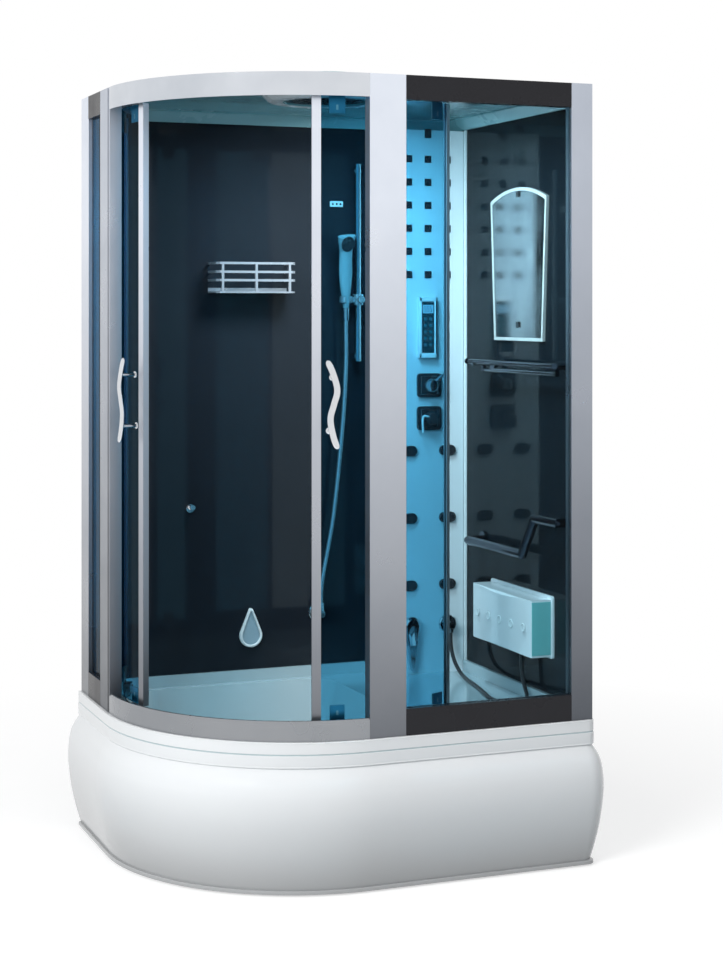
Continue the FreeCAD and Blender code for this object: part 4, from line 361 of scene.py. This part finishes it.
def strips(mesh, lines):
    # faces between neighbouring lines, which stay open at their ends
    for low, high in zip(lines, lines[1:]):
        for i in range(len(low) - 1):
            mesh.faces.new((low[i], low[i + 1], high[i + 1], high[i]))


def bars(mesh, middle, near, far, outlines):
    # flat bars on a wall's face, each given by its two corners from a middle
    for low, high in outlines:
        block(mesh, (middle[0] + low[0], near, middle[1] + low[1]),
              (middle[0] + high[0], far, middle[1] + high[1]))


def block(mesh, low, high):
    spans = list(zip(low, high))
    corners = [mesh.verts.new((x, y, z)) for x in spans[0] for y in spans[1] for z in spans[2]]
    for a, b, c, d in ((0, 1, 3, 2), (4, 6, 7, 5), (0, 4, 5, 1), (2, 3, 7, 6), (0, 2, 6, 4), (1, 5, 7, 3)):
        mesh.faces.new((corners[a], corners[b], corners[c], corners[d]))


def prism(mesh, outline, run):
    # outline of corners in space, carried along a run
    low = [mesh.verts.new(Vector(corner)) for corner in outline]
    high = [mesh.verts.new(Vector(corner) + Vector(run)) for corner in outline]
    skin(mesh, [low, high])


def finishPiece(name, mesh, body, slotName, finish=None, stands=(), bevel=0.0, crease=34.0):
    bmesh.ops.recalc_face_normals(mesh, faces=mesh.faces)
    for vert in mesh.verts:
        vert.co *= 0.001
    for edge in mesh.edges:
        edge.smooth = len(edge.link_faces) == 2 and edge.calc_face_angle(0) < math.radians(crease)
    for face in mesh.faces:
        face.smooth = True
    data = bpy.data.meshes.new(name)
    mesh.to_mesh(data)
    mesh.free()
    piece = bpy.data.objects.new(name, data)
    bpy.context.scene.collection.objects.link(piece)
    data.materials.append(material[finish or slotName])
    if bevel:
        rounding = piece.modifiers.new("softEdges", "BEVEL")
        rounding.width, rounding.segments = bevel * 0.001, 2
        rounding.angle_limit = math.radians(crease)
    if body:
        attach(piece, body)
    if stands:
        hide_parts(*stands)
    return piece


# the two hoses
feedHose = {"radius": 6.0, "length": 0.7918,
            "route": [(517, 316, 527), (517, 316, 485), (518, 292, 443), (515, 240, 415.4),
                      (509, 180, 406.4), (498, 106, 406.4), (484, 28, 406.4), (466, -48, 406.4),
                      (451, -116, 406.4), (465, -174, 406.4), (513, -189, 407.4), (547, -160, 413.4),
                      (553, -122, 440.4), (551, -109, 484.4), (551, -109, 531.5)]}
showerHose = {"radius": 7.0, "length": 0.909, "ribPitch": 2.2, "ribDepth": 0.7,
              "route": [(196, 385, 1533), (196, 385, 1465.3), (198.68, 388.26, 1388.5),
                        (194.5, 386.25, 1307.25), (189.31, 384.8, 1221.5), (182.62, 387.84, 1135.7),
                        (175.93, 391.89, 1049.9), (167.74, 395.93, 964.1), (157.56, 395.92, 882.8),
                        (142.39, 393.86, 806.1), (126.23, 390.74, 733.8), (118, 396, 672), (118, 396, 630)]}


def hoseCurve(name, route, radius):
    curve = bpy.data.curves.new(name, "CURVE")
    curve.dimensions = "3D"
    curve.resolution_u = 16
    curve.bevel_depth = radius * 0.001
    curve.bevel_resolution = 5
    spline = curve.splines.new("NURBS")
    spline.points.add(len(route) - 1)
    for point, spot in zip(spline.points, route):
        point.co = (spot[0] * 0.001, spot[1] * 0.001, spot[2] * 0.001, 1)
    spline.order_u = 3
    spline.use_endpoint_u = True
    hose = bpy.data.objects.new(name, curve)
    bpy.context.scene.collection.objects.link(hose)
    return hose


boxHose = hoseCurve("boxHose", feedHose["route"], feedHose["radius"])
boxHose.data.materials.append(material["hose_rubber"])
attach(boxHose, "cabin")
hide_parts("box_hose")


def ribbedHose():
    # metal-wound hose: rings of two radii along the line of the route's own spline
    guide = hoseCurve("hoseGuide", showerHose["route"], 0.0)
    line = bpy.data.meshes.new_from_object(guide.evaluated_get(bpy.context.evaluated_depsgraph_get()))
    knots = [vert.co * 1000 for vert in line.vertices]
    bpy.data.objects.remove(guide)
    marks, path = [0.0], []
    for a, b in zip(knots, knots[1:]):
        marks.append(marks[-1] + (b - a).length)
    count = int(marks[-1] / showerHose["ribPitch"])
    k = 0
    for step in range(count + 1):
        want = marks[-1] * step / count
        while k < len(knots) - 2 and marks[k + 1] < want:
            k += 1
        share = (want - marks[k]) / (marks[k + 1] - marks[k])
        path.append(knots[k].lerp(knots[k + 1], min(max(share, 0), 1)))
    mesh = bmesh.new()
    deep = showerHose["radius"] - showerHose["ribDepth"]
    sizes = [(showerHose["radius"],) * 2 if i % 2 else (deep, deep) for i in range(len(path))]
    sweep(mesh, path, sizes, sides=14)
    hose = finishPiece("showerHose", mesh, None, "plated_plastic", stands=("shower_hose",), crease=80)
    return hose, [spot * 0.001 for spot in path]


wallHose, wallHosePath = ribbedHose()
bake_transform(wallHose)
print("hoses laid")


# door handles: a wavy flat bar on two posts
curveMiddle = Vector((-50, 130, 0))   # of the quarter round, its rails and its doors
handleShape = {"turn": {"left": 191.4, "right": 259.8}, "way": {"left": -1, "right": 1}, "radius": 567.5,
               "middle": 1280.0, "bar": (8.6, 5.2), "foot": 520.6, "posts": ((70, -4), (-70, 5)),
               "post": [(0, 9.5), (2.6, 9.5), (4.0, 8.2), (5.0, 5.4), (40, 5.0), (45, 6.0)],
               "swing": [(18, 116), (3, 84), (-9, 38), (0, 0), (9, -38), (1, -84), (-11, -116)]}


def doorHandle(side):
    angle, way = math.radians(handleShape["turn"][side]), handleShape["way"][side]
    outward = Vector((math.cos(angle), math.sin(angle), 0))
    across = Vector((-math.sin(angle), math.cos(angle), 0))

    def at(radius, shift, z):
        return curveMiddle + outward * radius + across * (-way * shift) + Vector((0, 0, z))

    mesh = bmesh.new()
    path = smoothPath([at(handleShape["radius"] - 0.4, shift, handleShape["middle"] + z)
                       for shift, z in handleShape["swing"]], 7)
    wide, thick = handleShape["bar"]
    sizes = []
    for i in range(len(path)):
        end = min(i, len(path) - 1 - i) / 4
        taper = math.sqrt(max(1 - (1 - min(end, 1)) ** 2, 0.03))
        sizes.append((wide * taper, thick * taper))
    sweep(mesh, path, sizes, side=across)
    for level, shift in handleShape["posts"]:
        foot = at(handleShape["foot"], shift, handleShape["middle"] + level)
        turned(mesh, foot, outward, handleShape["post"], 28)
    finishPiece(side + "DoorHandle", mesh, side + "_door", "chrome", stands=(side + "_door_handle",),
                crease=50)


for side in ("left", "right"):
    doorHandle(side)
print("handles made")


# hand shower and its slider
handShower = {"grip": (196, 385, 1559),
              "spine": [(0, 0, -26), (0, 0, 0), (-1, -1, 30), (-2, -3, 80), (-3, -6, 120), (-4, -11, 150),
                        (-6, -20, 176), (-8, -29, 194)],
              "half": [(9, 9), (12.6, 12.6), (17, 13.5), (22, 13), (21, 13), (21, 14), (26, 14.5), (29, 12)],
              "spray": (-6, -33, 170), "plate": (21, 25), "nozzlePitch": (7.5, 6.5),
              "nut": (196, 385, 1495)}


def handset():
    grip = Vector(handShower["grip"])
    perSpan = 6
    path = smoothPath([grip + Vector(spot) for spot in handShower["spine"]], perSpan)
    sizes = []
    for i in range(len(path)):
        span, share = divmod(i, perSpan)
        wide, thick = handShower["half"][span]
        nextWide, nextThick = handShower["half"][min(span + 1, len(handShower["half"]) - 1)]
        ease = share / perSpan
        sizes.append((wide + (nextWide - wide) * ease, thick + (nextThick - thick) * ease))
    lid = path[-1] + (path[-1] - path[-2]).normalized() * 3
    mesh = bmesh.new()
    sweep(mesh, path + [lid], sizes + [(sizes[-1][0] - 4, sizes[-1][1] - 4)], side=(1, 0, 0), sides=32)
    finishPiece("handShower", mesh, "handset", "plated_plastic", "handsetGrey", stands=("hand_shower",),
                crease=48)
    mesh = bmesh.new()   # spray plate with its nozzles, on the front of the head
    facing = Vector((0, -0.90, -0.42)).normalized()
    across, along = Vector((1, 0, 0)), Vector((0, -0.42, 0.90)).normalized()
    middle = grip + Vector(handShower["spray"])
    wide, high = handShower["plate"]
    plate = [middle + across * (wide * math.cos(turn)) + along * (high * math.sin(turn))
             for turn in circle(40)]
    prism(mesh, plate, facing * 3)
    acrossPitch, alongPitch = handShower["nozzlePitch"]
    for row in range(-3, 4):
        for column in range(-2, 3):
            if abs(row) + abs(column) < 5:
                nozzle = middle + across * (column * acrossPitch) + along * (row * alongPitch) + facing * 2.8
                turned(mesh, nozzle, facing, [(0, 1.7), (1.4, 1.2)], 8)
    finishPiece("sprayFace", mesh, "handset", "dark_plastic", bevel=0.6)
    mesh = bmesh.new()   # nut that covers the hose's end, also when the handset is lifted
    turned(mesh, handShower["nut"], (0, 0, 1),
           [(0, 8.0), (2, 9.2), (10, 9.6), (34, 10.6), (37.6, 10.6), (38.0, 10.0)], 24)
    finishPiece("hoseNut", mesh, "handset", "chrome")


def slider():
    rail, grip = Vector((242, 400, 1559)), Vector(handShower["grip"])
    mesh = bmesh.new()   # sleeve round the rail
    rings = [(-17, 15.6), (-15.6, 17.0), (15.6, 17.0), (17, 15.6), (17, 9.3), (-17, 9.3)]
    sleeve = [[mesh.verts.new(rail + Vector((radius * math.cos(turn), radius * math.sin(turn), z)))
               for turn in circle(40)] for z, radius in rings]
    skin(mesh, sleeve + sleeve[:1], closed=False)
    knob = rail + Vector((0, -15.5, 0))   # clamping knob with its grip ribs
    turned(mesh, knob, (0, -1, 0), [(0, 10.0), (2, 11.0), (17, 11.0), (18.6, 10.4), (20, 8.4)], 36)
    for turn in circle(12):
        rib = Vector((knob.x + 10.7 * math.cos(turn), 381, knob.z + 10.7 * math.sin(turn)))
        turned(mesh, rib, (0, -1, 0), [(0, 0.9), (1, 1.2), (13, 1.2), (14, 0.9)], 8)
    arm = [(226, 382, 1551.5), (226, 395.5, 1551.5), (212, 392.5, 1551.5), (212, 378, 1551.5)]
    prism(mesh, arm, (0, 0, 15))
    cup = []   # cradle, open to the front
    for z, radius in ((-10, 18.6), (-8.5, 20.0), (8.5, 20.0), (10, 18.8), (10, 14.6), (-10, 12.5)):
        cup.append([mesh.verts.new(grip + Vector((0, 0, z))
                                   + Vector((math.cos(turn), math.sin(turn), 0)) * radius)
                    for turn in [math.radians(-90 + 26 + 308 * k / 36) for k in range(37)]])
    strips(mesh, cup + cup[:1])
    mesh.faces.new([ring[0] for ring in cup])
    mesh.faces.new([ring[-1] for ring in cup][::-1])
    finishPiece("showerSlider", mesh, "slider", "plated_plastic", stands=("shower_slider",))


handset()
slider()
print("hand shower made")


# bulged apron with its foot flange, and the band and beads along the tub's rim
apronShape = {"reach": 560.0, "left": -610.0, "right": 610.0, "front": -430.0, "back": 470.0, "corner": 26.0,
              "foot": 15.0, "top": 334.0, "bulge": 40.0, "wall": 4.8, "levels": 28,
              "rows": [(0.0, 0.05), (0.16, 0.43), (0.36, 0.78), (0.63, 1.0), (0.86, 0.78), (1.0, 0.1)]}


def footprint(grow, z, corner):
    # left side, quarter round, front and right side, grown by an offset
    reach = apronShape["reach"] + grow
    startX, startY = curveMiddle.x, curveMiddle.y
    sideRun = apronShape["back"] - startY
    plan = [(apronShape["left"] - grow, apronShape["back"] - sideRun * k / 4) for k in range(4)]
    for k in range(37):
        turn = math.radians(180 + 90 * k / 36)
        plan.append((startX + reach * math.cos(turn), startY + reach * math.sin(turn)))
    right, front = apronShape["right"] + grow, apronShape["front"] - grow
    plan += [(startX + (right - corner - startX) * k / 8, front) for k in range(1, 8)]
    for k in range(11):
        turn = math.radians(270 + 9 * k)
        plan.append((right - corner + corner * math.cos(turn), front + corner + corner * math.sin(turn)))
    plan += [(right, front + corner + (apronShape["back"] - front - corner) * k / 10) for k in range(1, 11)]
    return [Vector((x, y, z)) for x, y in plan]


def swellAt(share):
    # bulge at a height, smooth through the measured rows
    line = smoothPath([(level, swell, 0) for level, swell in apronShape["rows"]], 20)
    for a, b in zip(line, line[1:]):
        if a.x <= share <= b.x:
            return a.y + (b.y - a.y) * (share - a.x) / max(b.x - a.x, 1e-6)
    return line[-1].y


def bulgedApron():
    mesh = bmesh.new()
    skins = []
    for inward in (0.0, apronShape["wall"]):
        rings = []
        for k in range(apronShape["levels"] + 1):
            share = k / apronShape["levels"]
            grow = apronShape["bulge"] * swellAt(share)
            z = apronShape["foot"] + (apronShape["top"] - apronShape["foot"]) * share
            rings.append([mesh.verts.new(spot)
                          for spot in footprint(grow - inward, z, apronShape["corner"] + grow)])
        skins.append(rings)
    for rings in skins:
        strips(mesh, rings)
    outer, inner = skins
    for k in (0, -1):
        strips(mesh, [outer[k], inner[k]])
    for i in (0, -1):
        for low, high, deepLow, deepHigh in zip(outer, outer[1:], inner, inner[1:]):
            mesh.faces.new((low[i], high[i], deepHigh[i], deepLow[i]))
    flange = []
    for grow, z in ((8.0, 5.0), (8.6, 7.5), (8.0, 13.5), (6.0, 15.2), (-4.0, 15.2), (-4.0, 5.0)):
        flange.append([mesh.verts.new(spot) for spot in footprint(grow, z, apronShape["corner"])])
    strips(mesh, flange + flange[:1])
    for i in (0, -1):
        mesh.faces.new([ring[i] for ring in flange])
    finishPiece("bulgedApron", mesh, "cabin", "white_acrylic", "apronAcrylic", stands=("front_apron",),
                crease=40)


def rimBead():
    # soft rolled edges along the tub's rim, above and below its band
    for name, z, radius in (("rimBeadTop", 398.6, 2.6), ("rimBeadFoot", 336.0, 3.0)):
        mesh = bmesh.new()
        line = footprint(8.0 - radius * 0.4, z, apronShape["corner"])
        sweep(mesh, line, (radius, radius), side=(0, 0, 1), sides=10)
        finishPiece(name, mesh, "cabin", "white_acrylic")


def rimBand():
    # white fascia and ledge around the tub's rim, with a shadow step between its two heights
    section = [(-26, 400.2), (-26, 401.0), (4.6, 401.0), (7.4, 399.6), (8.8, 396.6), (8.8, 371.0),
               (7.2, 369.6), (7.2, 367.4), (9.4, 366.0), (9.4, 340.0), (8.4, 336.4), (5.6, 334.8),
               (4.8, 336.0), (4.8, 400.2)]
    lines = [footprint(grow, z, apronShape["corner"]) for grow, z in section]
    mesh = bmesh.new()
    rings = [[mesh.verts.new(line[i]) for line in lines] for i in range(len(lines[0]))]
    skin(mesh, rings)
    finishPiece("rimBand", mesh, "cabin", "white_acrylic", "apronAcrylic", crease=24)


bulgedApron()
rimBand()
rimBead()
print("apron made")


# trims and small fittings inside
def ringTrim():
    # white collar round the ceiling fan, with its cover screws
    middle = Vector((-55, -110, 0))
    section = [(2121.8, 176), (2119, 174), (2106, 160), (2103.4, 152), (2102.9, 124), (2105, 116.5),
               (2121.8, 116.2)]
    mesh = bmesh.new()
    rings = [[mesh.verts.new((middle.x + radius * math.cos(turn), middle.y + radius * math.sin(turn), z))
              for turn in circle(72)] for z, radius in section]
    skin(mesh, rings + rings[:1], closed=False)
    for k in range(6):
        turn = 2 * math.pi * (k + 0.5) / 6
        screw = (middle.x + 138 * math.cos(turn), middle.y + 138 * math.sin(turn), 2103)
        turned(mesh, screw, (0, 0, -1), [(0, 4.4), (1.0, 4), (1.8, 2.4)], 16)
    finishPiece("ringTrim", mesh, "cabin", "white_plastic")


def cornerTrims():
    # white strips beside the column, and the sealing strip in the back corner
    mesh = bmesh.new()
    block(mesh, (574.5, 333.0, 402), (582.1, 342.4, 2088))
    block(mesh, (313.5, 425.0, 402), (322.4, 438.2, 2088))
    finishPiece("cornerTrims", mesh, "cabin", "white_plastic", bevel=1.5)


def sensorPlate():
    mesh = bmesh.new()
    block(mesh, (162, 431.5, 1846), (205, 438.2, 1864))
    finishPiece("sensorPlate", mesh, "cabin", "white_plastic", bevel=1.6)
    mesh = bmesh.new()
    for x in (171, 183.5, 196):
        turned(mesh, (x, 431.8, 1855), (0, -1, 0), [(0, 3.6), (0.8, 3.4), (1.2, 2.2)], 20)
    finishPiece("sensorEyes", mesh, "cabin", "dark_plastic")


valveSpots = {"mixer": (454, 1294), "diverter": (454, 1192)}   # from the side and from the floor
valveFace = 331.7


def leverPath(valve, steps):
    return smoothPath([valve + Vector(step) for step in steps], 6)


def levers():
    knob = [(0.4, 19), (1.4, 20.6), (17, 20.9), (22, 19.4), (25, 15), (26, 9)]
    mixer, diverter = (Vector((x, valveFace, z)) for x, z in valveSpots.values())
    mesh = bmesh.new()
    turned(mesh, mixer, (0, -1, 0), knob, 44)
    finishPiece("mixerKnob", mesh, "mixer", "chrome", stands=("mixer_lever",), crease=50)
    mesh = bmesh.new()
    path = leverPath(mixer, ((2, -15, 2), (12, -19, 12), (24, -22.5, 24), (35, -25, 35)))
    sweep(mesh, path, [(6.6 - 0.16 * i, 3.6 - 0.06 * i) for i in range(len(path))], side=(1, 0, -1))
    finishPiece("mixerArm", mesh, "mixer", "chrome", crease=50)
    mesh = bmesh.new()
    turned(mesh, diverter, (0, -1, 0), knob, 44)
    finishPiece("diverterKnob", mesh, "diverter", "dark_plastic", stands=("diverter_lever",), crease=50)
    mesh = bmesh.new()
    path = leverPath(diverter, ((4, -20, 2), (-12, -21, 6), (-27, -21, 8), (-32, -21, 2), (-32.5, -21, -18),
                                (-31, -21, -42)))
    sweep(mesh, path, (4.6, 3.4), side=(0, 1, 0))
    finishPiece("diverterArm", mesh, "diverter", "white_plastic", crease=50)


panelShape = {"middle": (447, 1473), "bezelFace": 327.0, "screenFace": 328.0,
              "rim": [((-30, -94), (-21.5, 94)), ((21.5, -94), (26, 94)), ((-30, -94), (30, -81)),
                      ((-30, 81), (30, 94))],
              "figure": ((0, 16, 5.5, 1), (0, 8, 5.5, 1), (0, 0, 5.5, 1), (0, 8, 1, 8), (4.6, 0, 1, 8))}


def panelDetails():
    # raised rim, display window and touch buttons of the control panel
    x, z = panelShape["middle"]
    face, glass = panelShape["bezelFace"], panelShape["screenFace"]
    # painted highlight: the rim's bars get a brighter white than the panel
    mesh = bmesh.new()
    bars(mesh, (x, z), face - 2.4, face + 0.6, panelShape["rim"])
    finishPiece("panelRim", mesh, "cabin", "white_plastic", "rimPaintedHighlight", bevel=1.2)
    mesh = bmesh.new()
    bars(mesh, (x, z), face - 2.4, face + 0.6, [((26, -94), (30, 94))])
    finishPiece("panelShadowSide", mesh, "cabin", "dark_plastic", bevel=0.8)
    mesh = bmesh.new()
    block(mesh, (x - 18, glass - 0.7, z + 44), (x + 18, glass + 0.4, z + 70))
    finishPiece("panelDisplay", mesh, "cabin", "screen", "litDisplay", bevel=0.3)
    mesh = bmesh.new()
    for i in range(3):   # generic bars of the display's figures
        left = x - 12 + 9 * i
        for shift, rise, wide, high in panelShape["figure"]:
            block(mesh, (left + shift, glass - 1.1, z + 48.5 + rise),
                  (left + shift + wide, glass - 0.6, z + 48.5 + rise + high))
    finishPiece("displayFigures", mesh, "cabin", "dark_plastic")
    mesh = bmesh.new()
    for row in range(5):
        for column in (-9, 9):
            turned(mesh, (x + column, glass + 0.2, z + 26 - 20 * row), (0, -1, 0),
                   [(0, 5.6), (0.8, 5.4), (1.4, 4.2)], 24)
    finishPiece("panelButtons", mesh, "cabin", "screen", "buttonTeal")


def unitEndCap():
    # teal end cover of the massage unit, and its row of outlets
    mesh = bmesh.new()
    block(mesh, (514, -249.6, 549), (574, -247.6, 700))
    finishPiece("unitEndCap", mesh, "cabin", "white_acrylic", "paleTeal", bevel=0.9)
    mesh = bmesh.new()
    for k in range(5):
        turned(mesh, (506.2 + abs(k - 2) * 0.8, -205 + 76 * k, 624), (-1, 0, 0),
               [(0, 13), (1.6, 12.4), (2.0, 10), (1.0, 8), (1.0, 2)], 32)
    finishPiece("unitOutlets", mesh, "cabin", "white_plastic")


def plateFrames():
    # bright inner squares on the two valve plates
    mesh = bmesh.new()
    edges = [((-29, -27), (-26.5, 27)), ((26.5, -27), (29, 27)), ((-29, -29), (29, -26.5)),
             ((-29, 26.5), (29, 29))]
    for middle in valveSpots.values():
        bars(mesh, middle, 330.8, 332.2, edges)
    finishPiece("plateFrames", mesh, "cabin", "chrome", bevel=0.5)


steamDrop = {"spot": (-95, 501), "width": 73, "height": 120,
             "rim": ((8.6, 432.5), (8.2, 427.6), (6.6, 426.2), (3.0, 426.3), (1.2, 428.6), (0.6, 437.6))}


def dropOutline(inset, sides=28):
    # teardrop: round foot, small round tip, straight flanks
    x, z = steamDrop["spot"]
    width, height = steamDrop["width"], steamDrop["height"]
    radius, tip = width / 2 - inset, 7 - inset * 0.4
    low, high = z + width / 2, z + height - 7 - inset * 0.8
    lean = math.asin((radius - tip) / (high - low))
    plan = []
    for k in range(sides + 1):
        turn = math.pi - lean + (math.pi + 2 * lean) * k / sides
        plan.append((x + radius * math.cos(turn), low + radius * math.sin(turn)))
    for k in range(9):
        turn = lean + (math.pi - 2 * lean) * k / 8
        plan.append((x + tip * math.cos(turn), high + tip * math.sin(turn)))
    return plan


def steamGrille():
    mesh = bmesh.new()
    prism(mesh, [(x, 432.9, z) for x, z in dropOutline(8.5)], (0, -0.9, 0))
    finishPiece("steamRecess", mesh, "cabin", "dark_plastic", "recessGrey")
    mesh = bmesh.new()
    rings = [[mesh.verts.new((x, y, z)) for x, z in dropOutline(inset)] for inset, y in steamDrop["rim"]]
    skin(mesh, rings, closed=False)
    finishPiece("steamRim", mesh, "cabin", "white_plastic", stands=("steam_outlet",), crease=60)


def mirrorClips():
    mesh = bmesh.new()
    for y, z in ((-39, 1484), (-39, 1868)):
        block(mesh, (571.2, y - 9, z - 9), (575.4, y + 9, z + 9))
    finishPiece("mirrorClips", mesh, "cabin", "dark_plastic", bevel=1.2)


def drainPlug():
    x, y = -205, 250
    mesh = bmesh.new()
    turned(mesh, (x, y, 120), (0, 0, 1),
           [(4.4, 25), (5.2, 27.4), (6.6, 27.6), (8.4, 25), (9.6, 18), (10.1, 9), (10.2, 2)], 48)
    turned(mesh, (x, y, 80), (0, 0, 1), [(0, 3.4), (1, 4.0), (45, 4.0)], 16)
    finishPiece("drainPlug", mesh, "plug", "chrome", stands=("drain_plug",), crease=50)


rollerShape = {"turns": {"left": (189.345, 153.6), "right": (261.855, 297.6)},
               "radius": 496, "height": 2120.3,
               "rows": [(0.2, 4.3), (0.2, 7.2), (1.2, 7.4), (1.2, 10.6), (0.4, 11.0), (0.6, 11.9),
                        (7.4, 11.9), (7.6, 11.0), (6.8, 10.6), (6.8, 7.4), (7.8, 7.2), (7.8, 4.3)]}


def rollers():
    # grooved wheels with a hub and a ball race
    for side, turns in rollerShape["turns"].items():
        for index, angle in enumerate(turns, start=1):
            outward = Vector((math.cos(math.radians(angle)), math.sin(math.radians(angle)), 0))
            middle = curveMiddle + Vector((0, 0, rollerShape["height"])) + outward * rollerShape["radius"]
            out = outward.orthogonal().normalized()
            up = outward.cross(out)
            mesh = bmesh.new()
            rings = [[mesh.verts.new(middle + outward * level
                                     + (out * math.cos(turn) + up * math.sin(turn)) * radius)
                      for turn in circle(32)] for level, radius in rollerShape["rows"]]
            skin(mesh, rings + rings[:1], closed=False)
            name = "%s_roller_%d" % (side, index)
            finishPiece(side + "Wheel%d" % index, mesh, name, "dark_plastic", stands=(name,))


for makeFitting in (ringTrim, cornerTrims, sensorPlate, levers, panelDetails, unitEndCap, plateFrames,
                    steamGrille, mirrorClips, drainPlug, rollers):
    makeFitting()
print("fittings made")


# floor, backdrop and lamps
stageSetup = {"fill": (0.80, 0.83, 0.86), "fillStrength": 0.31, "floorFade": (1.1, 2.6),
              "floorGrey": (0.50, 0.54), "floorGlow": 0.62, "floorRadius": 9000}


def seenDirectly(tree):
    # 1 for what the camera sees, also by reflection or through glass, and 0 for the light that it gives
    ray = addNode(tree, "LightPath")
    seen = addNode(tree, "Math", operation="MAXIMUM")
    seenThrough = addNode(tree, "Math", operation="MAXIMUM")
    tree.links.new(ray.outputs["Is Camera Ray"], seen.inputs[0])
    tree.links.new(ray.outputs["Is Glossy Ray"], seen.inputs[1])
    tree.links.new(seen.outputs["Value"], seenThrough.inputs[0])
    tree.links.new(ray.outputs["Is Transmission Ray"], seenThrough.inputs[1])
    return seenThrough.outputs["Value"]


def paleFloor():
    mesh = bmesh.new()
    radius = stageSetup["floorRadius"]
    turned(mesh, (0, 0, -12), (0, 0, 1), [(0, radius), (11.5, radius)], 96)
    for vert in mesh.verts:
        vert.co *= 0.001
    data = bpy.data.meshes.new("paleFloor")
    mesh.to_mesh(data)
    mesh.free()
    floor = bpy.data.objects.new("paleFloor", data)
    bpy.context.scene.collection.objects.link(floor)
    finish = bpy.data.materials.new("paleFloor")
    finish.use_nodes = True
    tree = finish.node_tree
    shader = tree.nodes["Principled BSDF"]
    coords = addNode(tree, "TexCoord")
    far = addNode(tree, "VectorMath", operation="LENGTH")
    fade = addNode(tree, "MapRange")
    fade.inputs["From Min"].default_value, fade.inputs["From Max"].default_value = stageSetup["floorFade"]
    tree.links.new(coords.outputs["Object"], far.inputs[0])
    tree.links.new(far.outputs["Value"], fade.inputs["Value"])
    speck = addNode(tree, "TexNoise")
    speck.inputs["Scale"].default_value = 90
    tone = addNode(tree, "MapRange")
    tone.inputs["To Min"].default_value, tone.inputs["To Max"].default_value = stageSetup["floorGrey"]
    tree.links.new(speck.outputs["Fac"], tone.inputs["Value"])
    tree.links.new(tone.outputs["Result"], shader.inputs["Base Color"])
    shader.inputs["Roughness"].default_value = 0.8
    white = addNode(tree, "Emission")
    lit = addNode(tree, "Emission")
    lit.inputs["Strength"].default_value = stageSetup["floorGlow"]
    halfLit = addNode(tree, "AddShader")
    tree.links.new(shader.outputs["BSDF"], halfLit.inputs[0])
    tree.links.new(lit.outputs["Emission"], halfLit.inputs[1])
    shown = addNode(tree, "MixShader")
    tree.links.new(fade.outputs["Result"], shown.inputs["Fac"])
    tree.links.new(halfLit.outputs["Shader"], shown.inputs[1])
    tree.links.new(white.outputs["Emission"], shown.inputs[2])
    result = addNode(tree, "MixShader")
    tree.links.new(seenDirectly(tree), result.inputs["Fac"])
    tree.links.new(shader.outputs["BSDF"], result.inputs[1])
    tree.links.new(shown.outputs["Shader"], result.inputs[2])
    tree.links.new(result.outputs["Shader"], tree.nodes["Material Output"].inputs["Surface"])
    data.materials.append(finish)


def whiteRoom():
    world = bpy.data.worlds.new("whiteRoom")
    bpy.context.scene.world = world
    world.use_nodes = True
    tree = world.node_tree
    soft = tree.nodes["Background"]
    soft.inputs["Color"].default_value = stageSetup["fill"] + (1,)
    soft.inputs["Strength"].default_value = stageSetup["fillStrength"]
    white = addNode(tree, "Background")
    white.inputs["Color"].default_value = (1, 1, 1, 1)
    mixed = addNode(tree, "MixShader")
    tree.links.new(seenDirectly(tree), mixed.inputs["Fac"])
    tree.links.new(soft.outputs["Background"], mixed.inputs[1])
    tree.links.new(white.outputs["Background"], mixed.inputs[2])
    tree.links.new(mixed.outputs["Shader"], tree.nodes["World Output"].inputs["Surface"])


lamps = {"key": dict(place=(-4.4, -3.2, 3.3), aim=(0, 0, 0.8), size=2.6, power=265, tone=(1, 1, 1)),
         "side": dict(place=(3.4, -3.2, 2.2), aim=(0.1, 0, 0.9), size=2.2, power=18, tone=(1, 1, 1)),
         "above": dict(place=(0.3, -0.6, 5.0), aim=(0, 0, 0.4), size=2.6, power=60, tone=(1, 1, 1)),
         "inside": dict(place=(0.05, -0.12, 2.04), aim=(0.25, 0.1, 0.4), size=0.35, power=17,
                        tone=(0.72, 0.92, 1.0))}


def hangLamps():
    for name, lamp in lamps.items():
        light = bpy.data.lights.new(name + "Lamp", "AREA")
        light.shape = "DISK"
        light.size = lamp["size"]
        light.energy = lamp["power"]
        light.color = lamp["tone"]
        holder = bpy.data.objects.new(name + "Lamp", light)
        holder.location = lamp["place"]
        facing = Vector(lamp["aim"]) - Vector(lamp["place"])
        holder.rotation_euler = facing.to_track_quat("-Z", "Y").to_euler()
        holder.visible_camera = False
        holder.visible_glossy = False
        holder.visible_transmission = False
        bpy.context.scene.collection.objects.link(holder)


paleFloor()
whiteRoom()
hangLamps()
print("floor and lamps set")
